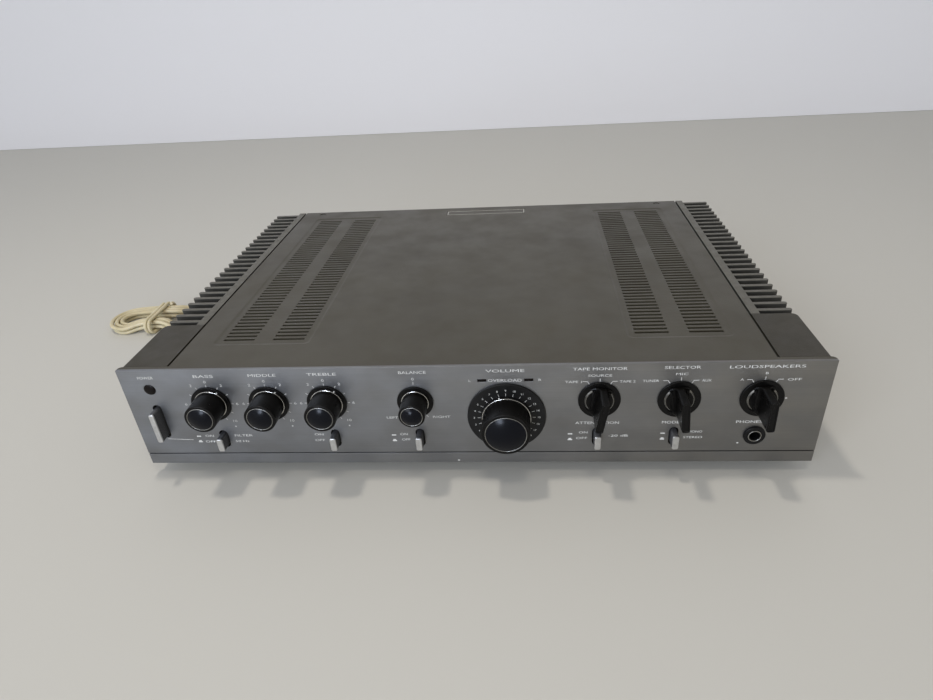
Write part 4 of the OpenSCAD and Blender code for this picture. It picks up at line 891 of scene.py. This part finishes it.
# Volume dial
# A thin turned disc of black anodised aluminium behind the volume knob, engraved and filled with
# white: a tick with its plain number at every step.
DIAL_EDGE = 0.4
DIAL_BORE_R = 4.5
DIAL_SWEEP = 135
DIAL_STEPS = 18
TICK_R = (17.1, 19.1)
TICK_W = 0.25
DIAL_NUMBER_R = 21.3
DIAL_NUMBER_H = 1.4

dial_black = clouded("black_anodised_aluminium", ("#0c0c0c", "#121212"), 6, (3, 0.36, 0.46), specular=0.25)
dial_low, dial_high, to_dial = seat("volume_dial")
dial_r = (dial_high.x - dial_low.x) / 2
dial_t = PANEL_Y - dial_low.y
dial = turned(oblong(DIAL_BORE_R, dial_r, 0, dial_t), 96, ring=True)
soften(dial, DIAL_EDGE, 2)
piece(dial, "dial_disc", dial_black, "chassis", ["volume_dial"], matrix=to_dial)

scale = bmesh.new()
for step in range(DIAL_STEPS + 1):
    degrees = -DIAL_SWEEP + step * 2 * DIAL_SWEEP / DIAL_STEPS
    stroke(scale, *(around((0, 0), degrees, r) for r in TICK_R), TICK_W)
    lettering(scale, str(step), DIAL_NUMBER_H, around((0, 0), degrees, DIAL_NUMBER_R), wide=1.1)
piece(scale, "dial_scale", white_ink, "chassis",
      matrix=to_dial @ Matrix.Translation((0, 0, dial_t + INK_LIFT)))

# Lamps
# A domed power lamp and two small windows for the overload lamps, all of deep red acrylic, unlit.
LAMP_R = 4
LAMP_DOME = 0.8
LAMP_TAIL = 10
LAMP_STEPS = 6
WINDOW_SIZE = (5.7, 1.9)
WINDOW_SIDE = 15

acrylic = clouded("deep_red_acrylic", "#070202", None, 0.12, specular=0.18)
lamps_low, lamps_high = node_box("indicator_lamps")
slopes = [math.pi / 2 * (1 - k / LAMP_STEPS) for k in range(LAMP_STEPS + 1)]
dome = [(LAMP_R * math.sin(slope), LAMP_DOME * math.cos(slope)) for slope in slopes]
lamps = bmesh.new()
join(lamps, turned([(0, -LAMP_TAIL), (LAMP_R, -LAMP_TAIL)] + dome, 40),
     on_panel(lamps_low.x + LAMP_R, lamps_low.z + LAMP_R))
half_x, half_z = (size / 2 for size in WINDOW_SIZE)
for side in (-1, 1):
    x = to_dial.translation.x + side * WINDOW_SIDE
    window = extruded(oblong(x - half_x, x + half_x, PANEL_Y, PANEL_Y + LAMP_TAIL),
                      lamps_high.z - 2 * half_z, lamps_high.z)
    soften(window, 0.2, 2)
    join(lamps, window)
piece(lamps, "lamp_lenses", acrylic, "chassis", ["indicator_lamps"])

# Headphone socket
# A black moulded bush with a round flange on the panel, and a turned bright ring round its mouth.
JACK_FLANGE_R = 7
JACK_FLANGE_T = 1.6
JACK_NECK_R = 5.15
JACK_RING_R = 4.25
JACK_MOUTH_R = 3.75
JACK_RING_OUT = 0.35
JACK_BORE_R = 3.25
JACK_BORE_D = 27.7
JACK_BODY = 14
JACK_PLATE_D = 15.5

_, jack_high, to_jack = seat("headphone_jack")
jack = turned([(0, -JACK_BORE_D), (JACK_BORE_R, -JACK_BORE_D), (JACK_BORE_R, JACK_FLANGE_T - 0.3),
               (JACK_RING_R - 0.1, JACK_FLANGE_T - 0.3), (JACK_RING_R - 0.1, JACK_FLANGE_T),
               (JACK_FLANGE_R, JACK_FLANGE_T), (JACK_FLANGE_R, 0), (JACK_NECK_R, 0),
               (JACK_NECK_R, -JACK_PLATE_D), (0, -JACK_PLATE_D - 0.01)], 48)
soften(jack, 0.45, 3, where=lambda at: at.z > 1 and at.xy.length > JACK_NECK_R)
half = JACK_BODY / 2
shell = extruded(oblong(-half, half, -half, half), PANEL_Y - jack_high.y, -JACK_PLATE_D)
soften(shell, 0.6, 2)
join(jack, shell)
piece(jack, "jack_bush", black_moulding, "chassis", ["headphone_jack"], matrix=to_jack)
mouth = turned(oblong(JACK_MOUTH_R, JACK_RING_R, 0, JACK_FLANGE_T + JACK_RING_OUT), 40, ring=True)
soften(mouth, 0.2, 3, where=lambda at: at.z > 1)
piece(mouth, "jack_ring", nickel, "chassis", matrix=to_jack)

# Round knobs
# Black phenolic knobs with a thin bright metal ring on the flange, a painted highlight for the glint on the
# knob's rounded black step, and, but for balance, a white pointer.
# Each has a blue-black, glass-smooth domed cap set in a thin silver ring.
BORE_R = 3.1
BORE_D = 14
FLANGE_T = 1
CAP_WALL_SHARE = 0.14
CAP_SEAT = 1.2
CAP_RING_W = 0.4
BEZEL_OUT = 0.15
RIM_ROUND = 0.6
BODY_DRAFT = 0.2
HIGHLIGHT_RING_W = 0.35
HIGHLIGHT_RING_T = 0.6
POINTER_LEN = 1.1
POINTER_W = 0.8
POINTER_TURN = {"bass": 35, "mid": 35, "treble": 35, "volume": -15}
RING_IN = {"bass": 0.45, "mid": 0.45, "treble": 0.45, "balance": 0.25, "volume": 0.1}
DOME_RISE = {"balance": 0.6}
DOME_STEPS = 10

knob_black = clouded("polished_black_phenolic", ("#080808", "#0d0c0b"), 4, (6, 0.26, 0.34), specular=0.16)
cap_dark = clouded("blue_black_lacquer", "#06080f", None, 0.19, specular=0.15)

for name in CONTROLS:
    knob_low, knob_high, to_knob = seat(name + "_knob")
    cap_low, cap_high = node_box(name + "_cap")
    gap = PANEL_Y - knob_high.y
    rim = PANEL_Y - knob_low.y
    reach = PANEL_Y - cap_low.y
    flange_r = (knob_high.x - knob_low.x) / 2
    seat_r = (cap_high.x - cap_low.x) / 2 + 0.05
    body_r = seat_r / (1 - CAP_WALL_SHARE)
    cap_r = seat_r - 0.1 - RING_IN[name]
    front = gap + FLANGE_T
    body = name + "_control"

    knob = turned([(0, BORE_D), (BORE_R, BORE_D), (BORE_R, gap), (flange_r, gap), (flange_r, front),
                   (body_r, front), (body_r - BODY_DRAFT, rim), (cap_r + 0.1, rim),
                   (cap_r + 0.1, rim - CAP_SEAT), (0, rim - CAP_SEAT)], 72)
    soften(knob, 0.4, 3, where=lambda at: at.xy.length > body_r + 0.1 and at.z > gap + 0.1)
    soften(knob, RIM_ROUND, 4, where=lambda at: at.xy.length > cap_r + 0.2 and at.z > front + 1)
    piece(knob, name + "_grip", knob_black, body, [name + "_knob"], matrix=to_knob)

    # The bright metal ring at the foot of the body is a painted highlight for the glint on the knob's
    # rounded black step.
    highlight_ring = turned(oblong(body_r - 0.3, body_r + HIGHLIGHT_RING_W, front - 0.2, front + HIGHLIGHT_RING_T), 72, ring=True)
    soften(highlight_ring, 0.25, 2)
    piece(highlight_ring, name + "_collar", chrome, body, matrix=to_knob)

    if name in POINTER_TURN:
        pointer = bmesh.new()
        ends = [around((0, 0), POINTER_TURN[name], body_r + HIGHLIGHT_RING_W + away) for away in (0, POINTER_LEN)]
        stroke(pointer, *ends, POINTER_W)
        piece(pointer, name + "_pointer", white_ink, body,
              matrix=to_knob @ Matrix.Translation((0, 0, front + INK_LIFT)))

    dome_r = cap_r - CAP_RING_W
    rise = reach - rim + DOME_RISE.get(name, 0)
    sphere_r = (dome_r ** 2 + rise ** 2) / (2 * rise)
    crown = []
    for k in range(DOME_STEPS + 1):
        slope = math.asin(dome_r / sphere_r) * (1 - k / DOME_STEPS)
        crown.append((sphere_r * math.sin(slope), rim + rise - sphere_r * (1 - math.cos(slope))))
    dome = turned([(0, rim - CAP_SEAT), (dome_r, rim - CAP_SEAT)] + crown, 72)
    piece(dome, name + "_dome", cap_dark, body, [name + "_cap"], matrix=to_knob)

    bezel = turned(oblong(dome_r, cap_r, rim - CAP_SEAT, rim + BEZEL_OUT), 72, ring=True)
    soften(bezel, 0.2, 2, where=lambda at: at.z > rim)
    piece(bezel, name + "_bezel", nickel, body, matrix=to_knob)

# Switch knobs
# Black phenolic too, each a thin flange, a low disc with a bright metal chamfer band, a painted
# highlight for the glint on the disc's rounded black edge, and an upright grip across it. The sides
# of the grip are hollowed for the fingers, and its front has a shallow recess.
SWITCH_FLANGE_R = 13.6
SWITCH_GAP = 0.5
SWITCH_FRONT = 1.4
DISC_R = 9
DISC_FRONT = 2.4
HIGHLIGHT_BAND_OUT = 0.55
GRIP_HALF = 2.5
GRIP_FOOT = 2
GRIP_FLARE = 0.8
GRIP_BASE_LEN = 19.6
GRIP_FRONT = 21.5
GRIP_LEN = 21.8
GRIP_CORNER = 1.3
RECESS_RIM = 0.8
RECESS_SLOPE = 0.25
RECESS_D = 0.5
SWITCH_TILT = {"monitor": 10, "source": -5, "speaker": -1.5}
GRIP_STEPS = 8
SIDE_STEPS = 20
ROUND_STEPS = 6


def rounded(w, h, r):
    """Outline of an upright bar with corners of a radius."""
    points = []
    for x, y, start in ((1, 1, 0), (-1, 1, 90), (-1, -1, 180), (1, -1, 270)):
        for k in range(ROUND_STEPS + 1):
            turn = math.radians(start + 90 * k / ROUND_STEPS)
            point = (x * (w / 2 - r) + r * math.cos(turn), y * (h / 2 - r) + r * math.sin(turn))
            if not points or math.dist(point, points[-1]) > 0.01:
                points.append(point)
    return points if math.dist(points[0], points[-1]) > 0.01 else points[:-1]


def waisted(share):
    """Outline of the grip; by a share it is wider and shorter and flares to its ends."""
    end = (GRIP_LEN - (GRIP_LEN - GRIP_BASE_LEN) * share) / 2
    side = []
    for k in range(SIDE_STEPS + 1):
        y = end * math.sin(math.pi * (k / SIDE_STEPS - 0.5))
        corner = max(abs(y) - end + GRIP_CORNER, 0)
        lost = GRIP_CORNER - math.sqrt(max(GRIP_CORNER ** 2 - corner ** 2, 0))
        side.append((GRIP_HALF + share * (GRIP_FOOT + GRIP_FLARE * (y / end) ** 2) - lost, y))
    return side + [(-x, y) for x, y in reversed(side)]


def lofted(outlines):
    """Mesh through outlines of as many points, each at its height, closed at the last."""
    bm = bmesh.new()
    rings = []
    for outline, h in outlines:
        knots = [bm.verts.new((x, y, h)) for x, y in outline]
        rings.append([bm.edges.new(pair) for pair in zip(knots, knots[1:] + knots[:1])])
    for low, high in zip(rings, rings[1:]):
        bmesh.ops.bridge_loops(bm, edges=low + high)
    bmesh.ops.edgeloop_fill(bm, edges=rings[-1])
    bmesh.ops.recalc_face_normals(bm, faces=bm.faces)
    return bm


for name in SWITCHES:
    _, _, to_knob = seat(name + "_knob")
    to_knob = to_knob @ Matrix.Rotation(-math.radians(SWITCH_TILT[name]), 4, "Z")
    knob = turned([(BORE_R, SWITCH_GAP), (SWITCH_FLANGE_R, SWITCH_GAP), (SWITCH_FLANGE_R, SWITCH_FRONT),
                   (DISC_R, SWITCH_FRONT), (DISC_R, DISC_FRONT), (BORE_R, DISC_FRONT)], 72, ring=True)
    soften(knob, 0.4, 3, where=lambda at: at.xy.length > DISC_R + 1 and at.z > SWITCH_GAP + 0.1)
    # The bright metal band round the disc is a painted highlight for the glint on the disc's rounded black
    # edge.
    highlight_band = turned([(DISC_R - 0.3, SWITCH_FRONT - 0.2), (DISC_R + HIGHLIGHT_BAND_OUT, SWITCH_FRONT - 0.2),
                   (DISC_R + HIGHLIGHT_BAND_OUT, SWITCH_FRONT + 0.1), (DISC_R - 0.1, DISC_FRONT + 0.02),
                   (DISC_R - 0.3, DISC_FRONT + 0.02)], 96, ring=True)
    piece(highlight_band, name + "_band", nickel, name + "_switch", matrix=to_knob)

    outlines = [(waisted(1), SWITCH_FRONT - 0.2)]
    for k in range(GRIP_STEPS + 1):
        turn = math.pi / 2 * k / GRIP_STEPS
        outlines.append((waisted(1 - math.sin(turn)), DISC_FRONT + 2 * GRIP_FOOT * (1 - math.cos(turn))))
    grip = lofted(outlines + [(waisted(0), GRIP_FRONT)])
    front = [f for f in grip.faces if f.normal.z > 0.9]
    bmesh.ops.inset_region(grip, faces=front, thickness=RECESS_RIM, use_even_offset=True)
    bmesh.ops.inset_region(grip, faces=front, thickness=RECESS_SLOPE, depth=-RECESS_D, use_even_offset=True)
    soften(grip, 0.25, 2, sharp=50, where=lambda at: at.z > GRIP_FRONT - 0.01)
    join(knob, grip)
    piece(knob, name + "_selector", knob_black, name + "_switch", [name + "_knob"],
          matrix=to_knob)

# Push buttons
# Moulded grey bars with rounded corners on narrow stems, each with a bright silver plate in front.
STEM_W = 3
BAR_END = -9
STEM_H = 6
POWER_STEM_H = 14
PLATE_T = 1.0
PLATE_CORNER = 1.3

button_grey = clouded("speckled_grey_moulding", ("#2c2d2e", "#55565a"), 0.5, 0.42)
silver = clouded("satin_silver_plate", ("#d4d5d6", "#c2c3c4"), 3, 0.3, 1.0)

for name in ("filter", "tone", "loudness", "mute", "mode", "power"):
    low, high, to_button = seat(name + "_button")
    w, h = high.x - low.x, high.z - low.z
    reach = PANEL_Y - low.y
    bar = extruded(rounded(w, h, PLATE_CORNER), BAR_END, reach - PLATE_T)
    half_h = (POWER_STEM_H if name == "power" else STEM_H) / 2
    stem = extruded(oblong(-STEM_W / 2, STEM_W / 2, -half_h, half_h), PANEL_Y - high.y, BAR_END + 1)
    join(bar, stem)
    piece(bar, name + "_bar", button_grey, name + "_push", [name + "_button"],
          matrix=to_button)
    plate = extruded(rounded(w, h, PLATE_CORNER), reach - PLATE_T, reach)
    soften(plate, 0.6, 4, sharp=60, where=lambda at: at.z > reach - 0.01)
    piece(plate, name + "_plate", silver, name + "_push", matrix=to_button)

# Mains cord
# Round cord in a cream sheath, through a ribbed sleeve in the rear panel, laid forward along the
# left side and wound into a flat hank with a tie of thin cord, with a flat moulded plug at the end.
CORD_R = 2
CORNER = Vector((-230, 163, 0))
LEAD = [
    (65, 28, 30), (65, 35, 30), (64, 43, 29.6), (61, 51, 28.5), (56, 58, 26.5), (49, 63, 24), (41, 66, 21),
    (33, 66, 17.6), (25, 64, 14), (17, 60, 10.6), (10, 55, 7.6), (4, 49, 5.2), (-1, 42, 3.4), (-4, 34, 2.4),
    (-6, 25, 2), (-7, 15, 2), (-7, 3, 2), (-7, -9, 2), (-7, -21, 2), (-7, -33, 2), (-7, -45, 2),
    (-7, -57, 2), (-7, -69, 2), (-8, -78, 2), (-11, -87, 2), (-16, -95, 2), (-23, -101, 2),
    (-31, -104, 2), (-41, -105, 2), (-52, -105, 2), (-62, -105, 2)]
HANK = Vector((-335, 80.625, 0))
HANK_HALF = 39
HANK_FOLD_R = 12
HANK_STEP = 5
HANK_TURN = 2.125
HANK_LOOPS = 4.75
HANK_LAYER = 4.7
HANK_CLIMB = 0.25
TIE_X = -346
WAIST_IN = 6
WAIST_UP = 3.8
WAIST_FLAT = 7
WAIST_HALF = 28
TAIL_R = 20
TAIL_STRAIGHT = 6
LOOP_STEPS = 24
TIE_R = 1.7
TIE_PITCH = 4
TIE_TURNS = 2
TIE_MID_Z = 8.15
TIE_HALF_Z = 6.45
TIE_HALF_Y = 19.125


def lap(t):
    """Side, share of the side and turn of a point of a long loop after a number of laps."""
    phase = t - math.floor(t)
    side = -1 if phase < 0.5 else 1
    part = phase % 0.5 * 4
    return side, part, math.pi * (part - 1)


def hank_point(t):
    """Point of the hank after a number of loops."""
    side, part, turn = lap(t)
    r = HANK_FOLD_R + HANK_STEP * abs(t - HANK_TURN)
    up = min(max((t - HANK_TURN) / HANK_CLIMB + 0.5, 0), 1)
    z = CORD_R + HANK_LAYER * up * up * (3 - 2 * up)
    if part >= 1:
        return HANK + Vector((side * (HANK_HALF + r * math.sin(turn)), side * r * math.cos(turn), z))
    x = side * HANK_HALF * (2 * part - 1)
    near = (abs(x + HANK.x - TIE_X) - WAIST_FLAT) / (WAIST_HALF - WAIST_FLAT)
    waist = (1 + math.cos(math.pi * min(max(near, 0), 1))) / 2
    return HANK + Vector((x, side * (r - WAIST_IN * waist), z + WAIST_UP * waist))


def tie_point(t):
    """Point of the tie after a number of turns."""
    side, part, turn = lap(t)
    y = TIE_HALF_Y * (2 * part - 1) if part < 1 else TIE_HALF_Y + TIE_HALF_Z * math.sin(turn)
    z = TIE_HALF_Z if part < 1 else TIE_HALF_Z * math.cos(turn)
    return Vector((TIE_X + TIE_PITCH * (t - TIE_TURNS / 2), HANK.y + side * y, TIE_MID_Z - side * z))


def drawn(name, points, r, finish):
    """Round cord through points, as a curve in metres that rides on the case."""
    curve = bpy.data.curves.new(name, "CURVE")
    curve.dimensions = "3D"
    curve.resolution_u = 4
    curve.bevel_depth = r * MM
    curve.bevel_resolution = 4
    curve.use_fill_caps = True
    spline = curve.splines.new("BEZIER")
    spline.bezier_points.add(len(points) - 1)
    for knot, point in zip(spline.bezier_points, points):
        knot.co = point * MM
        knot.handle_left_type = "AUTO"
        knot.handle_right_type = "AUTO"
    curve.materials.append(finish)
    made = bpy.data.objects.new(name, curve)
    stage.collection.objects.link(made)
    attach(made, "chassis")
    return made


sheath = clouded("cream_vinyl_sheath", ("#d3c9ab", "#c0b48f"), 20, 0.42, extra={
    "Subsurface Weight": 0.08, "Subsurface Radius": (0.003, 0.002, 0.001)})

route = [CORNER + Vector(point) for point in LEAD]
route += [hank_point(k / LOOP_STEPS) for k in range(int(LOOP_STEPS * HANK_LOOPS) + 1)]
last = route[-1]
for k in range(1, 5):
    turn = math.pi / 2 * k / 4
    route.append(last + Vector((TAIL_STRAIGHT + TAIL_R * math.sin(turn), TAIL_R * (1 - math.cos(turn)), 0)))
route.insert(-4, last + Vector((TAIL_STRAIGHT, 0, 0)))
route.append(route[-1] + Vector((0, TAIL_STRAIGHT, 0)))
mains_cord = drawn("mains_cord", route, CORD_R, sheath)
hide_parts("cord_lead", "cord_hank")
tie_route = [tie_point(k / LOOP_STEPS) for k in range(LOOP_STEPS * TIE_TURNS + 1)]
cord_tie = drawn("thin_tie", tie_route, TIE_R, sheath)
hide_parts("cord_tie")

GLAND = Vector((-165, 163, 30))
GLAND_OUTLINE = [(0, -5.5), (6, -5.5), (6, 0), (8, 0), (8, 2), (6, 2)]
GLAND_RIBS = 7
GLAND_TIP_R = 3
GLAND_LEN = 28
RIB_GAP = 0.35
RIB_OUT = 0.5
RIB_BACK = 1.2
ribs = []
gland_r, gland_from = GLAND_OUTLINE[-1]
for k in range(GLAND_RIBS):
    shares = [(k + part) / GLAND_RIBS for part in (RIB_GAP, 1)]
    near, far = (gland_from + (GLAND_LEN - gland_from) * share for share in shares)
    r_near, r_far = (gland_r + (GLAND_TIP_R - gland_r) * share for share in shares)
    ribs += [(r_near - RIB_OUT, near - RIB_BACK), (r_near - RIB_OUT, near), (r_near, near), (r_far, far)]
gland = turned(GLAND_OUTLINE + ribs + [(0, GLAND_LEN)], 32)
soften(gland, 0.15, 1, where=lambda at: at.z > 0.5)
piece(gland, "cord_sleeve", sheath, "chassis", ["cord_gland"],
      matrix=Matrix.Translation(GLAND) @ head_back)

PLUG = Vector((-270, 131.75, 6.7))
PLUG_LEN = 36
PLUG_OUTLINE = [(-5.5, 0), (5.5, 0), (15, 12), (15, PLUG_LEN), (-15, PLUG_LEN), (-15, 12)]
PLUG_HALF_T = 6.7
PIN_SIDE = 9.3
PIN_R = 2
PIN_ROOT = -3
PIN_LEN = 19
plug = extruded(PLUG_OUTLINE, -PLUG_HALF_T, PLUG_HALF_T)
soften(plug, 2.2, 4, sharp=20)
plug_piece = piece(plug, "plug_body", sheath, "chassis", ["mains_plug"],
                   matrix=Matrix.Translation(PLUG))
pins = bmesh.new()
for side in (-1, 1):
    pin = turned([(0, PIN_ROOT), (PIN_R, PIN_ROOT), (PIN_R, PIN_LEN), (0, PIN_LEN)], 24)
    soften(pin, 0.8, 3, where=lambda at: at.z > 0)
    join(pins, pin, Matrix.Translation(PLUG + Vector((side * PIN_SIDE, PLUG_LEN, 0))) @ head_back)
pin_piece = piece(pins, "plug_pins", nickel, "chassis")
